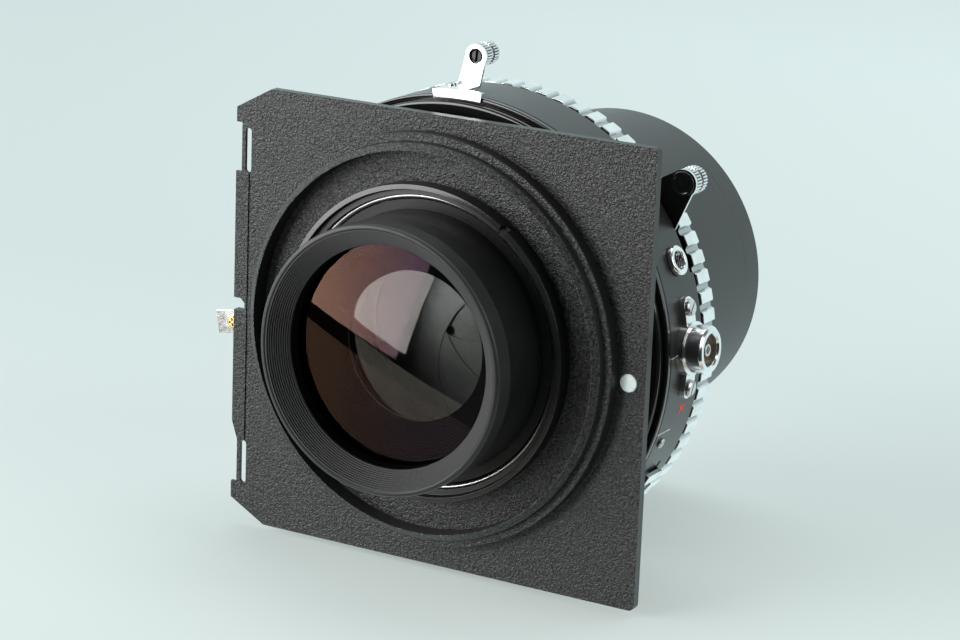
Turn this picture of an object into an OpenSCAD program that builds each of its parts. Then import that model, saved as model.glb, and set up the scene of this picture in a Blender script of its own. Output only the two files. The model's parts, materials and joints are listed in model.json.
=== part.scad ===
// Large-format view-camera lens in a leaf shutter on a square lens board.
// The lens axis runs along Y: the rear of the lens faces -Y and its front faces +Y, with Z up the board.
// The origin is where the lens axis meets the plane of the board's rear face.
// Every piece is drawn lying down, its z axis pointing to the rear, and lay() stands it up.

/* [Lens board] */
// Board width
board_w = 99; // [97:0.5:101]
// Board height
board_h = 96; // [94:0.5:98]
// Thickness of the plate at its edges
board_t = 2; // [1.6:0.1:2.4]
// Outer radius of the light-trap ridge
trap_r = 43.7; // [43:0.1:44.5]
// Height of the light-trap ridge above the rear face
trap_h = 5.4; // [4.6:0.1:6]
// Height of the mounting floor inside the ridge above the rear face
floor_h = 1.5; // [1:0.1:2]
// Board centre to the right of the lens axis
shift_x = 0.4; // [-0.5:0.1:1]
// Board centre above the lens axis
shift_y = -0.8; // [-1.2:0.1:0.5]

/* [Shutter] */
// Outside radius of the side wall
wall_r = 49.8; // [49.4:0.1:50.4]
// Thickness of the side wall
wall_t = 0.8; // [0.7:0.05:0.9]
// Length of the side wall along the lens axis
wall_len = 14.1; // [13.9:0.1:14.8]
// Radius of the mounting thread that goes through the board
mount_r = 31; // [30.8:0.1:31.2]
// Radius of the thread that takes each lens cell
cell_r = 29; // [28.8:0.1:29.2]
// Radius of the largest aperture
aperture_r = 22.5; // [22:0.1:22.7]
// Radius of the aperture left by the closed iris
stop_r = 1; // [0.8:0.1:2]
// Notches round the speed ring
notch_count = 76; // [60:2:80]
// Axial width of the speed ring
speed_w = 5.3; // [5:0.1:5.6]

/* [Levers and sockets] */
// Angle of the cocking lever's knob, counted from +X up
cock_angle = 91; // [80:1:100]
// Distance of the cocking knob's centre from the side wall
cock_reach = 7.1; // [6.2:0.1:8.2]
// Angle of the release lever's knob
release_angle = 38.6; // [37:0.2:40]
// Distance of the release knob's centre from the side wall
release_reach = 6.5; // [5.8:0.1:7.2]
// Angle of the aperture tab
aperture_angle = 188.5; // [184:0.5:192]
// Distance of the aperture tab's end from the side wall
aperture_reach = 12.2; // [10.5:0.1:14]
// Angle of the press-focus tab
preview_angle = -30.5; // [-34:0.5:-28]
// Angle of the flash-sync socket
sync_angle = 3.2; // [1:0.2:5]
// Angle of the cable-release socket
cable_angle = 23.8; // [23:0.2:25]

/* [Lens cells] */
// Radius of the rear cell's rim
rear_r = 28.2; // [27.9:0.1:28.4]
// Distance of the rear rim from the board's rear face
rear_reach = 21.2; // [20:0.2:23]
// Clear radius of the rear lens
rear_clear_r = 23.2; // [22.6:0.1:23.6]
// Radius of the front barrel
front_r = 35.5; // [35.3:0.1:36.6]
// Radius of the front rim
rim_r = 35.2; // [35:0.1:35.6]
// Radius of the filter thread
filter_r = 33.5; // [33.2:0.1:33.8]
// Distance of the front rim from the board's rear face
front_reach = 84; // [80:0.5:88]

/* [Hidden] */
$fn = 96;

// Blades of the iris and leaves of the shutter
iris_count = 7;
leaf_count = 5;

// Colours
paint = [0.22, 0.23, 0.23];
black = [0.07, 0.07, 0.08];
satin = [0.12, 0.12, 0.13];
chrome = [0.85, 0.86, 0.87];
bare = [0.7, 0.71, 0.72];
blade_grey = [0.4, 0.42, 0.42];
amber = [0.45, 0.33, 0.3];
brown = [0.25, 0.18, 0.12];
brass = [0.75, 0.62, 0.4];

// Gaps: between moving pieces, round a screwed-in piece, and round a pivot pin
run = 0.3;
screwed = 0.05;
pin_gap = 0.05;
eps = 0.01;

// Stations along the axis, rear positive, board rear face at 0
board_front = -board_t;
cover_rear = board_front - 6.3;
cover_front = cover_rear - 1.9;
base_rear = cover_front - 1;
base_front = base_rear - 1;
wall_rear = base_rear - 0.1;
wall_front = wall_rear - wall_len;
arm_rear = base_front - run;
arm_t = 0.6;
aperture_ring_t = 0.5;
blade_t = 0.15;
blade_pitch = 0.22;
iris_clear = 1.18;
iris_rear = arm_rear - arm_t - aperture_ring_t - iris_clear;
iris_front = iris_rear - (iris_count - 1) * blade_pitch - blade_t;
blade_plate_rear = iris_front - 0.25;
blade_plate_front = blade_plate_rear - 0.6;
leaf_pitch = 0.4;
leaf_rear = blade_plate_front - run;
leaf_front = leaf_rear - (leaf_count - 1) * leaf_pitch - blade_t;
preview_ring_rear = leaf_front - 0.45;
preview_ring_t = 0.4;
preview_arm_t = 0.5;
mech_rear = preview_ring_rear - preview_ring_t - preview_arm_t - run;
mech_front = mech_rear - 0.8;
release_t = 0.7;
release_rear = wall_front + 1.2;
release_ring_rear = release_rear - release_t;
speed_rear = wall_front - 0.6;
speed_front = speed_rear - speed_w;
housing_front = speed_front - 0.1;
plate_rear = speed_front - 0.35;
plate_front = plate_rear - 1.15;
hub_front = plate_front - 0.2;

// Radii
hole_r = mount_r + 1.5;
wall_in = wall_r - wall_t;
inner_r = wall_in - 0.1;
rib_r = wall_in - 1;
tube_r = mount_r + 2;
cover_r = wall_in - 0.4;
drum_r = wall_r - 6.3;
cock_r = wall_r + cock_reach;
release_r = wall_r + release_reach;
aperture_end_r = wall_r + aperture_reach;
hub_r = cell_r + 4;
stop_bore_r = aperture_r + 0.5;

// Iris and leaf geometry: a curved blade swings about a pivot, and its inner edge then misses the
// axis by its radius less the distance that the edge's centre has moved
iris_pivot_r = 41;
iris_outer_r = 37;
iris_swing = 2 * asin((aperture_r - stop_r) / (2 * iris_pivot_r));
leaf_inner_r = aperture_r + 0.3;
leaf_pivot_r = 44;
leaf_outer_r = 42;
leaf_overlap = 1.2;
leaf_swing = 2 * asin((leaf_inner_r + leaf_overlap) / (2 * leaf_pivot_r));
blade_tail = 6;
blade_tip = 108;
pivot_pin_r = 0.6;
ear_r = 1.7;
iris_phase = 261;
leaf_phase = 10;

// Travels, in degrees, that the slots in the wall leave room for
aperture_travel = 48;
preview_travel = 28;
release_travel = 8;

// Stands a piece that was drawn with its z axis to the rear up in the object's frame
module lay() {
    rotate([90, 0, 0]) children();
}

// A turned solid from a list of [radius, height] points
module turned(points) {
    rotate_extrude() polygon(points);
}

// A plain ring between two radii and two heights
module ring(r_in, r_out, low, high) {
    turned([[r_in, low], [r_out, low], [r_out, high], [r_in, high]]);
}

// A wedge of the plane between two angles, far larger than the object
module wedge(from_angle, to_angle, low, high) {
    far = 90;
    steps = ceil((to_angle - from_angle) / 30);
    translate([0, 0, low])
        linear_extrude(high - low)
            polygon(concat([[0, 0]], [for (i = [0 : steps])
                let (a = from_angle + (to_angle - from_angle) * i / steps)
                far * [cos(a), sin(a)]]));
}

// A stretch of a ring between two angles
module arc_band(r_in, r_out, from_angle, to_angle, low, high) {
    intersection() {
        ring(r_in, r_out, low, high);
        wedge(from_angle, to_angle, low - 1, high + 1);
    }
}

// Places a piece on the side wall, its z axis pointing out from the lens axis
module on_wall(angle, radius, height) {
    rotate([0, 0, angle])
        translate([radius, 0, height])
            rotate([0, 90, 0]) children();
}

// A screw head with a straight slot, its foot at z = 0
module slotted_head(r, h, slot_w, slot_angle) {
    difference() {
        turned([[0, 0], [r, 0], [r, 0.6 * h], [0.8 * r, h], [0, h]]);
        rotate([0, 0, slot_angle])
            translate([-2 * r, -slot_w / 2, 0.55 * h])
                cube([4 * r, slot_w, h]);
    }
}

// A round knob with a groove about its middle, along z
module grooved_knob(r, low, high) {
    edge = 0.3;
    middle = (low + high) / 2;
    turned([[0, low], [r - edge, low], [r, low + edge],
            [r, middle - edge], [r - edge, middle - edge], [r - edge, middle + edge],
            [r, middle + edge], [r, high - edge], [r - edge, high], [0, high]]);
}

// A flat curved blade about a pivot at [pivot_r, 0], drawn fully open and then swung shut.
// Side 1 puts the blade on the counter-clockwise side of its pivot, side -1 on the other.
module curved_blade(inner_r, outer_r, pivot_r, swing, side) {
    from_angle = side > 0 ? -blade_tail : -blade_tip;
    to_angle = side > 0 ? blade_tip : blade_tail;
    translate([pivot_r, 0, 0])
        rotate([0, 0, side * swing])
            translate([-pivot_r, 0, 0])
                difference() {
                    union() {
                        arc_band(inner_r, outer_r, from_angle, to_angle, 0, blade_t);
                        translate([outer_r - 1, -ear_r, 0])
                            cube([pivot_r - outer_r + 1, 2 * ear_r, blade_t]);
                        translate([pivot_r, 0, 0])
                            cylinder(r = ear_r, h = blade_t);
                    }
                    translate([pivot_r, 0, -1])
                        cylinder(r = pivot_pin_r + pin_gap, h = blade_t + 2);
                }
}

// The part of a ball above z = 0 whose flat side has radius base_r
module dome(ball_r, base_r) {
    intersection() {
        translate([0, 0, -sqrt(ball_r * ball_r - base_r * base_r)])
            sphere(r = ball_r, $fn = 240);
        cylinder(r = base_r, h = ball_r);
    }
}

// LENS BOARD
corner_x = 8.6;
corner_y = 4.8;
corner_r = 1.2;
slot_in = 2.3;
slot_w = 1.5;
slot_len = 9.6;
slot_high_y = 33.4;
slot_low_y = -35.5;
slot_skin = 0.7;
slot_margin = 0.8;
relief = 1.4;
notch_deep = 2.7;
notch_high = 0.9;
notch_low = -1.8;
stud_x = trap_r + 2.3;
stud_y = -1.1;
stud_r = 1.95;
stud_deep = 0.6;

// Outline of the board, with cut corners and spring reliefs on the left and round corners on the right
module board_outline() {
    left = shift_x - board_w / 2;
    right = shift_x + board_w / 2;
    top = shift_y + board_h / 2;
    bottom = shift_y - board_h / 2;
    high_from = slot_high_y + slot_len / 2 + 1;
    high_to = slot_high_y - slot_len / 2;
    low_from = slot_low_y + slot_len / 2;
    low_to = slot_low_y - slot_len / 2;
    polygon(concat(
        [[left + corner_x, top], [left, top - corner_y],
         [left, high_from], [left + relief, high_from], [left + relief, high_to], [left, high_to],
         [left, notch_high], [left + notch_deep - 1, notch_high], [left + notch_deep, notch_high - 1],
         [left + notch_deep, notch_low], [left, notch_low],
         [left, low_from + 4], [left + relief, low_from], [left + relief, low_to], [left, low_to],
         [left, bottom + corner_y], [left + corner_x, bottom]],
        [for (a = [-90 : 30 : 0]) [right - corner_r, bottom + corner_r] + corner_r * [cos(a), sin(a)]],
        [for (a = [0 : 30 : 90]) [right - corner_r, top - corner_r] + corner_r * [cos(a), sin(a)]]));
}

// A slot with round ends through the board, standing along y, where the front of the plate is cut
// away to a thin skin
module spring_slot(middle_y) {
    half = slot_len / 2 - slot_w / 2;
    left = shift_x - board_w / 2;
    translate([left - 1, middle_y - slot_len / 2 - slot_margin, board_front - 1])
        cube([slot_in + slot_w + slot_margin + 1, slot_len + 2 * slot_margin, board_t - slot_skin + 1]);
    translate([left + slot_in + slot_w / 2, middle_y, board_front - 1]) {
        translate([-slot_w / 2, -half, 0])
            cube([slot_w, 2 * half, board_t + 2]);
        for (end = [-half, half])
            translate([0, end, 0])
                cylinder(r = slot_w / 2, h = board_t + 2);
    }
}

module lens_board() color(paint) lay() {
    step_a = 0.55 * trap_h;
    step_b = 0.82 * trap_h;
    score_deep = 0.25;
    difference() {
        union() {
            translate([0, 0, board_front])
                linear_extrude(board_t) board_outline();
            turned([[hole_r - 2, board_front], [trap_r, board_front],
                    [trap_r, step_a - 0.15], [trap_r - 0.15, step_a],
                    [trap_r - 1.65, step_a], [trap_r - 1.85, step_b - 0.1], [trap_r - 1.95, step_b],
                    [trap_r - 3, trap_h - 0.1], [trap_r - 3.1, trap_h], [trap_r - 3.35, trap_h],
                    [trap_r - 3.5, floor_h], [hole_r - 2, floor_h]]);
        }
        translate([0, 0, board_front - 1])
            cylinder(r = hole_r, h = board_t + trap_h + 2);
        translate([stud_x, stud_y, -stud_deep])
            cylinder(r = stud_r + screwed, h = stud_deep + 1);
        spring_slot(slot_high_y);
        spring_slot(slot_low_y);
        translate([shift_x - board_w / 2 + 3.2, slot_low_y + slot_len / 2, -score_deep])
            cube([0.5, slot_high_y - slot_low_y - slot_len, 1]);
    }
}

module index_stud() color(chrome) lay() {
    edge = 0.2;
    translate([stud_x, stud_y, -stud_deep])
        turned([[0, 0], [stud_r, 0], [stud_r, stud_deep - edge], [stud_r - edge, stud_deep], [0, stud_deep]]);
}

// RETAINING RING, with two spanner slots
ring_r = hole_r + 1;
ring_top = trap_h - 0.1;

module retaining_ring() color(black) lay() {
    land = 1.1;
    first_slot = 55;
    slot_wide = 1.7;
    slot_deep = 1.6;
    difference() {
        turned([[mount_r + screwed, floor_h], [ring_r, floor_h], [ring_r, ring_top - 0.15],
                [ring_r - 0.15, ring_top], [ring_r - land, ring_top], [ring_r - land - 0.2, ring_top - 1.4],
                [mount_r + screwed, ring_top - 1.4]]);
        for (a = [first_slot, first_slot + 180])
            rotate([0, 0, a])
                translate([mount_r - 1, -slot_wide / 2, ring_top - slot_deep])
                    cube([ring_r - mount_r + 2, slot_wide, slot_deep + 1]);
    }
}

// SHUTTER CASE
tube_end = floor_h + 1.5;
flange_seat = tube_end - 2.4;
seat_r = 36;
seat_front = board_front - 1.6;

module shutter_base() color(bare) lay() {
    bore = cell_r + screwed;
    mouth = cell_r + 1.1;
    bore_end = base_rear + 0.8;
    turned([[mouth, tube_end - 0.4], [mouth + 0.4, tube_end], [mount_r - 0.2, tube_end],
            [mount_r, tube_end - 0.2], [mount_r, board_front], [seat_r, board_front], [seat_r, seat_front],
            [tube_r, seat_front], [tube_r, cover_front], [tube_r + 1.5, cover_front],
            [tube_r + 1.5, base_rear], [inner_r, base_rear], [inner_r, base_front],
            [stop_bore_r, base_front], [stop_bore_r, bore_end], [bore, bore_end],
            [bore, flange_seat], [mouth, flange_seat]]);
}

module rear_cover() color(black) lay() {
    bevel = 1.1;
    turned(concat(
        [[tube_r + screwed, cover_front], [cover_r, cover_front]],
        [for (a = [0 : 15 : 90])
            [cover_r - bevel + bevel * cos(a), cover_rear - bevel + bevel * sin(a)]],
        [[tube_r + screwed, cover_rear]]));
}

// Angles at which the levers pass the wall
arm_half = 2.5;
arm_from = aperture_angle - 4.5;
arm_to = aperture_angle + aperture_travel + 4.5;
preview_from = preview_angle - preview_travel - 3;
preview_to = preview_angle + 3;
release_margin = 2.5;
release_from = release_angle - 8.2 - release_travel - release_margin;
release_to = release_angle + 5 + release_margin;

// The side wall, with an inner rib between the blade plate and the mechanism plate
module shutter_wall() color(satin) lay() {
    edge = 0.2;
    cable_hole = 2.2;
    difference() {
        turned([[wall_in, wall_rear], [wall_r - edge, wall_rear], [wall_r, wall_rear - edge],
                [wall_r, wall_front + edge], [wall_r - edge, wall_front], [wall_in, wall_front],
                [wall_in, mech_rear], [rib_r, mech_rear], [rib_r, blade_plate_front],
                [wall_in, blade_plate_front]]);
        wedge(arm_from, arm_to, arm_rear - arm_t - run, arm_rear + run);
        wedge(preview_from, preview_to, mech_rear - eps, preview_ring_rear - preview_ring_t + run);
        wedge(release_from, release_to, wall_front - 1, release_rear + run);
        on_wall(cable_angle, wall_r - 3, cable_height)
            cylinder(r = cable_hole, h = 6);
    }
}

// The cup that holds the iris, with the pivot pins of the blades behind and of the leaves in front
module blade_plate() color(black) lay() {
    skirt_r = inner_r - 0.5;
    ring(stop_bore_r, inner_r, blade_plate_front, blade_plate_rear);
    difference() {
        ring(skirt_r - 1, skirt_r, blade_plate_rear - eps, base_front);
        wedge(arm_from, arm_to, arm_rear - arm_t - run, base_front + 1);
    }
    for (i = [0 : iris_count - 1])
        rotate([0, 0, iris_phase + i * 360 / iris_count])
            translate([iris_pivot_r, 0, blade_plate_rear - eps])
                cylinder(r = pivot_pin_r, h = iris_rear - i * blade_pitch + 0.1 - blade_plate_rear + eps);
    for (i = [0 : leaf_count - 1])
        rotate([0, 0, leaf_phase + i * 360 / leaf_count])
            translate([leaf_pivot_r, 0, leaf_rear - i * leaf_pitch - blade_t - 0.1])
                cylinder(r = pivot_pin_r, h = run + i * leaf_pitch + blade_t + 0.1 + eps);
}

module mech_plate() color(black) lay() {
    ring(stop_bore_r, inner_r, mech_front, mech_rear);
}

// The hub that takes the front cell, and the drum that the speed and release rings turn on
module front_housing() color(black) lay() {
    drum_t = 1.2;
    drum_rear = release_ring_rear + 0.2;
    turned([[cell_r + screwed, mech_front], [hub_r, mech_front], [hub_r, housing_front + 1.6],
            [drum_r - drum_t, housing_front + 1.6], [drum_r - drum_t, drum_rear], [drum_r, drum_rear],
            [drum_r, housing_front], [hub_r, housing_front], [hub_r, hub_front],
            [cell_r + screwed, hub_front]]);
}

module front_plate() color(black) lay() {
    plate_r = wall_r - 1.2;
    edge = 0.4;
    turned([[hub_r + screwed, housing_front], [drum_r - 0.5, housing_front], [drum_r - 0.5, plate_rear],
            [plate_r, plate_rear], [plate_r, plate_front + edge], [plate_r - edge, plate_front],
            [hub_r + screwed, plate_front]]);
}

module wall_screw() color(bare) lay() {
    screw_angle = -20.1;
    screw_height = wall_rear - 3.2;
    on_wall(screw_angle, wall_r + 0.02, screw_height)
        slotted_head(1.1, 0.5, 0.3, 30);
}

// IRIS, seen closed to its smallest stop
module iris_blade(index) color(blade_grey) lay() {
    rotate([0, 0, iris_phase + index * 360 / iris_count])
        translate([0, 0, iris_rear - index * blade_pitch - blade_t])
            curved_blade(aperture_r, iris_outer_r, iris_pivot_r, iris_swing, -1);
}

aperture_ring_rear = arm_rear - arm_t;

module aperture_ring() color(bare) lay() {
    ring(aperture_r + 8.5, iris_pivot_r - 2, aperture_ring_rear - aperture_ring_t, aperture_ring_rear);
}

tab_t = 0.8;
tab_half = 2.6;
aperture_screw_r = aperture_end_r - 4.4;

// The arm passes out through the wall, and the tab is screwed to its end
module aperture_arm() color(bare) lay() {
    rotate([0, 0, aperture_angle])
        translate([iris_pivot_r - 7, -arm_half, aperture_ring_rear])
            cube([aperture_end_r - 3 - iris_pivot_r + 7, 2 * arm_half, arm_t]);
}

module aperture_tab() color(chrome) lay() {
    tab_len = 9;
    rotate([0, 0, aperture_angle])
        translate([aperture_end_r - tab_len, -tab_half, arm_rear])
            cube([tab_len, 2 * tab_half, tab_t]);
}

module aperture_screw() color(brass) lay() {
    rotate([0, 0, aperture_angle])
        translate([aperture_screw_r, 0, arm_rear + tab_t])
            difference() {
                turned([[0, 0], [1.5, 0], [1.5, 0.4], [1.1, 0.7], [0, 0.7]]);
                for (a = [0, 90])
                    rotate([0, 0, a])
                        translate([-0.9, -0.2, 0.35])
                            cube([1.8, 0.4, 1]);
            }
}

// SHUTTER LEAVES, closed behind the iris
module shutter_leaf(index) color(black) lay() {
    rotate([0, 0, leaf_phase + index * 360 / leaf_count])
        translate([0, 0, leaf_rear - index * leaf_pitch - blade_t])
            curved_blade(leaf_inner_r, leaf_outer_r, leaf_pivot_r, leaf_swing, 1);
}

preview_arm_rear = preview_ring_rear - preview_ring_t;
preview_half = 1.2;
preview_tab_in = wall_r + 0.5;
preview_tab_out = wall_r + 1.5;

module preview_ring() color(bare) lay() {
    ring(aperture_r + 8.5, leaf_pivot_r - 3, preview_ring_rear - preview_ring_t, preview_ring_rear);
}

module preview_arm() color(bare) lay() {
    from_r = leaf_pivot_r - 9;
    rotate([0, 0, preview_angle])
        translate([from_r, -preview_half, preview_arm_rear - preview_arm_t])
            cube([preview_tab_out - from_r, 2 * preview_half, preview_arm_t]);
}

module preview_tab() color(chrome) lay() {
    tab_rear = wall_rear - 3;
    rotate([0, 0, preview_angle])
        translate([preview_tab_in, -preview_half, preview_arm_rear])
            cube([preview_tab_out - preview_tab_in, 2 * preview_half, tab_rear - preview_arm_rear]);
}

// SPEED RING, with broad lands and sloping notches
speed_r = wall_r + 0.2;

module speed_ring() color(chrome) lay() {
    notch_deep_r = 0.8;
    notch_top = 0.95;
    notch_foot = 0.45;
    notch_phase = 0.24;
    rim_t = 2.4;
    edge = 0.3;
    difference() {
        turned([[drum_r + run, speed_rear - 2.6], [speed_r - rim_t, speed_rear - 2.6],
                [speed_r - rim_t, speed_rear], [speed_r - edge, speed_rear], [speed_r, speed_rear - edge],
                [speed_r, speed_front + edge], [speed_r - edge, speed_front],
                [drum_r + run, speed_front]]);
        for (i = [0 : notch_count - 1])
            rotate([0, 0, (i + notch_phase) * 360 / notch_count])
                translate([0, 0, speed_front - 1])
                    linear_extrude(speed_w + 2)
                        polygon([[speed_r - notch_deep_r, -notch_foot], [speed_r + 0.1, -notch_top],
                                 [speed_r + 0.1, notch_top], [speed_r - notch_deep_r, notch_foot]]);
    }
}

// COCKING LEVER, bent up from a bracket on the ring behind the wall
cock_rear = wall_rear + 1.4;
bracket_in = wall_r + run;
bracket_out = bracket_in + 0.7;
strip_rear = wall_rear - 4.7;
strip_t = 0.7;
cock_knob_r = 2.45;
cock_hole_r = 1.65;

module cocking_ring() color(black) lay() {
    rim_in = wall_in - 0.15;
    rim_out = wall_r;
    rim_front = wall_rear + 0.25;
    flange_in = wall_in - 2.4;
    turned([[flange_in, cover_front - 0.75], [rim_in, cover_front - 0.75], [rim_in, rim_front],
            [rim_out, rim_front], [rim_out, cock_rear - 0.2], [rim_out - 0.2, cock_rear],
            [rim_in, cock_rear], [rim_in, cover_front - 0.25], [flange_in, cover_front - 0.25]]);
}

module cocking_lever() color(chrome) lay() {
    hook_in = wall_in;
    hook_t = 0.6;
    foot_angle = cock_angle - 6;
    from_angle = cock_angle - 1;
    to_angle = cock_angle + 7;
    foot_w = 1.5;
    foot_left = -4.2;
    foot_right = 0.9;
    rotate([0, 0, cock_angle - 90])
        difference() {
            union() {
                translate([0, 0, strip_rear - strip_t])
                    linear_extrude(strip_t)
                        polygon([[foot_left, bracket_in + 0.1], [foot_right, bracket_in + 0.1],
                                 [cock_knob_r - 0.05, cock_r], [0.05 - cock_knob_r, cock_r]]);
                translate([0, cock_r, strip_rear - strip_t])
                    cylinder(r = cock_knob_r, h = strip_t);
            }
            translate([0, cock_r, strip_rear - strip_t - 1])
                cylinder(r = cock_hole_r, h = strip_t + 2);
        }
    arc_band(bracket_in, bracket_out, from_angle, to_angle, strip_rear - strip_t, cock_rear + hook_t);
    arc_band(bracket_in, bracket_out, foot_angle, to_angle, cock_rear + hook_t - foot_w, cock_rear + hook_t);
    arc_band(hook_in, bracket_in + 0.1, foot_angle, to_angle, cock_rear, cock_rear + hook_t);
}

module at_cock_knob() {
    rotate([0, 0, cock_angle - 90])
        translate([0, cock_r, 0]) children();
}

cock_knob_len = 5.4;
cock_bore = 1;

module cocking_knob() color(chrome) lay() {
    knob_rear = strip_rear - strip_t;
    at_cock_knob()
        difference() {
            grooved_knob(cock_knob_r, knob_rear - cock_knob_len, knob_rear);
            translate([0, 0, knob_rear - cock_bore])
                cylinder(r = cock_hole_r - 0.1, h = cock_bore + 1);
        }
}

module cocking_screw() color(bare) lay() {
    at_cock_knob()
        translate([0, 0, strip_rear - strip_t - cock_bore])
            slotted_head(1.4, 1.3, 0.5, 85);
}

module bracket_screw() color(bare) lay() {
    on_wall(cock_angle + 5.4, bracket_out + 0.02, strip_rear + 1.2)
        slotted_head(0.9, 0.45, 0.3, 20);
}

// RELEASE LEVER, turning with its ring about the lens axis
release_knob_r = 2.9;
release_knob_len = 5;
release_carrier_r = wall_in - 2;

module release_ring() color(bare) lay() {
    ring(drum_r + run, release_carrier_r, release_ring_rear - release_t, release_ring_rear);
}

module at_release_knob() {
    rotate([0, 0, release_angle])
        translate([release_r, 0, 0]) children();
}

// A tapered plate, wide where it leaves the wall and round at the knob
module release_lever() color(black) lay() {
    foot_in = drum_r + 1;
    foot_low = -6.6;
    foot_high = 4.2;
    shoulder_low = -7;
    shoulder_r = wall_r - 0.9;
    tip_out = 1.6;
    translate([0, 0, release_ring_rear])
        rotate([0, 0, release_angle])
            linear_extrude(release_t)
                polygon([[foot_in, foot_low], [shoulder_r, shoulder_low],
                         [release_r + tip_out, 0.3 - release_knob_r + 0.4],
                         [release_r + tip_out, 0], [release_r, release_knob_r],
                         [shoulder_r, foot_high], [foot_in, foot_high]]);
    at_release_knob()
        translate([0, 0, release_ring_rear])
            cylinder(r = release_knob_r, h = release_t);
}

module release_knob() color(chrome) lay() {
    at_release_knob()
        grooved_knob(release_knob_r, release_ring_rear - release_knob_len, release_ring_rear);
}

module release_cap() color(black) lay() {
    cap_r = 2.6;
    cap_h = 0.55;
    edge = 0.2;
    recess_r = 2.1;
    recess_foot = cap_h - 0.15;
    at_release_knob()
        translate([0, 0, release_rear])
            turned([[0, 0], [cap_r, 0], [cap_r, cap_h - edge], [cap_r - edge, cap_h], [recess_r, cap_h],
                    [recess_r - edge, recess_foot], [0, recess_foot]]);
}

// SOCKETS on the wall
cable_height = wall_rear - 7.85;
cable_out = 1.25;
sync_height = wall_rear - 7.2;
sync_out = 5.5;
sync_r = 5;
sync_in_r = 3.25;
sync_plate_t = 1.2;
sync_screw_y = 8.6;

module cable_socket() color(chrome) lay() {
    socket_r = 3.15;
    thread_r = 1.9;
    nose_r = 2.15;
    nose_in = wall_t - 0.1;
    on_wall(cable_angle, wall_r, cable_height)
        turned([[thread_r, -nose_in], [nose_r, -nose_in], [nose_r, 0.15], [socket_r, 0.15],
                [socket_r, cable_out - 0.3], [socket_r - 0.3, cable_out],
                [thread_r + 0.3, cable_out], [thread_r, cable_out - 0.3]]);
}

// A curved strap that follows the wall, with the round socket standing on it
module sync_socket() color(chrome) lay() {
    ear = 2.1;
    collar_r = sync_r + 0.6;
    collar_h = 1.7;
    difference() {
        intersection() {
            ring(wall_r + 0.02, wall_r + sync_plate_t, sync_height - 10, sync_height + 10);
            on_wall(sync_angle, wall_r - 3, sync_height)
                union() {
                    translate([-ear, -sync_screw_y, 0]) cube([2 * ear, 2 * sync_screw_y, 10]);
                    cylinder(r = collar_r, h = 10);
                    for (end = [-sync_screw_y, sync_screw_y])
                        translate([0, end, 0]) cylinder(r = ear, h = 10);
                }
        }
        on_wall(sync_angle, wall_r, sync_height)
            translate([0, 0, -2]) cylinder(r = sync_in_r, h = 10);
    }
    on_wall(sync_angle, wall_r, sync_height)
        turned([[sync_in_r, 0.5], [collar_r, 0.5], [collar_r, collar_h], [sync_r, collar_h],
                [sync_r, sync_out - 0.5], [sync_r - 0.5, sync_out],
                [sync_in_r + 0.35, sync_out], [sync_in_r, sync_out - 0.4]]);
}

module sync_insulator() color(brown) lay() {
    hole = 1.3;
    on_wall(sync_angle, wall_r, sync_height)
        turned([[hole + 0.02, 0.1], [sync_in_r - 0.02, 0.1], [sync_in_r - 0.02, sync_out - 1.2],
                [hole + 0.02, sync_out - 1.2]]);
}

module sync_contact() color(bare) lay() {
    on_wall(sync_angle, wall_r, sync_height)
        turned([[0, 0.1], [1.3, 0.1], [1.3, sync_out - 0.9], [1.15, sync_out - 0.75],
                [0.7, sync_out - 0.75], [0.6, sync_out - 1.6], [0, sync_out - 1.6]]);
}

module sync_screws() color(bare) lay() {
    slot_angles = [40, 75];
    for (i = [0, 1])
        let (turn = atan((i == 0 ? 1 : -1) * sync_screw_y / (wall_r + sync_plate_t)))
            on_wall(sync_angle + turn, wall_r + sync_plate_t + 0.02, sync_height)
                slotted_head(1.8, 0.8, 0.4, slot_angles[i]);
}

// REAR CELL
hood_seat = rear_reach - 5.2;
hood_end = rear_reach - 6.5;
hood_spigot_r = rear_clear_r + 2.6;
rear_glass_t = 8;
rear_glass_front = hood_end - rear_glass_t;
rear_throat_r = 15.8;
inner_seat = flange_seat - 0.6;
inner_glass_r = 19.5;
inner_glass_t = 4;
rear_inner_t = 7;

module rear_barrel() color(black) lay() {
    body_r = rear_r - 0.3;
    flange_r = cell_r + 0.95;
    inner_ring_r = inner_glass_r + 2;
    ring_seat = inner_seat - rear_inner_t;
    thread_end = ring_seat - 2.5;
    turned([[hood_spigot_r + screwed, hood_seat], [body_r, hood_seat], [body_r, tube_end - 0.5],
            [flange_r, tube_end - 0.5], [flange_r, flange_seat], [cell_r, flange_seat],
            [cell_r, thread_end], [inner_ring_r + screwed, thread_end],
            [inner_ring_r + screwed, ring_seat], [inner_glass_r + screwed, ring_seat],
            [inner_glass_r + screwed, inner_seat], [rear_throat_r, inner_seat],
            [rear_throat_r, inner_seat + 0.8], [rear_clear_r - 0.4, rear_glass_front],
            [hood_spigot_r + screwed, rear_glass_front]]);
}

// Ribbed cone that opens to the rear, with the sleeve that holds the outer glass
module rear_hood() color(black) lay() {
    ribs = 11;
    rib_deep = 0.14;
    cone_low = [rear_clear_r + 0.1, rear_reach - 4];
    cone_high = [rear_r - 1.2, rear_reach - 0.25];
    along = (cone_high - cone_low) / ribs;
    inward = [-along[1], along[0]] / norm(along);
    round_r = 0.8;
    turned(concat(
        [for (i = [0 : ribs - 1])
            each [cone_low + i * along, cone_low + (i + 0.5) * along + rib_deep * inward]],
        [cone_high, [rear_r - 1, rear_reach]],
        [for (a = [90 : -15 : 0])
            [rear_r - round_r + round_r * cos(a), rear_reach - round_r + round_r * sin(a)]],
        [[rear_r, hood_seat], [hood_spigot_r, hood_seat], [hood_spigot_r, hood_end], [rear_clear_r, hood_end],
         [rear_clear_r, cone_low[1] - 0.2]]));
}

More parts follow.
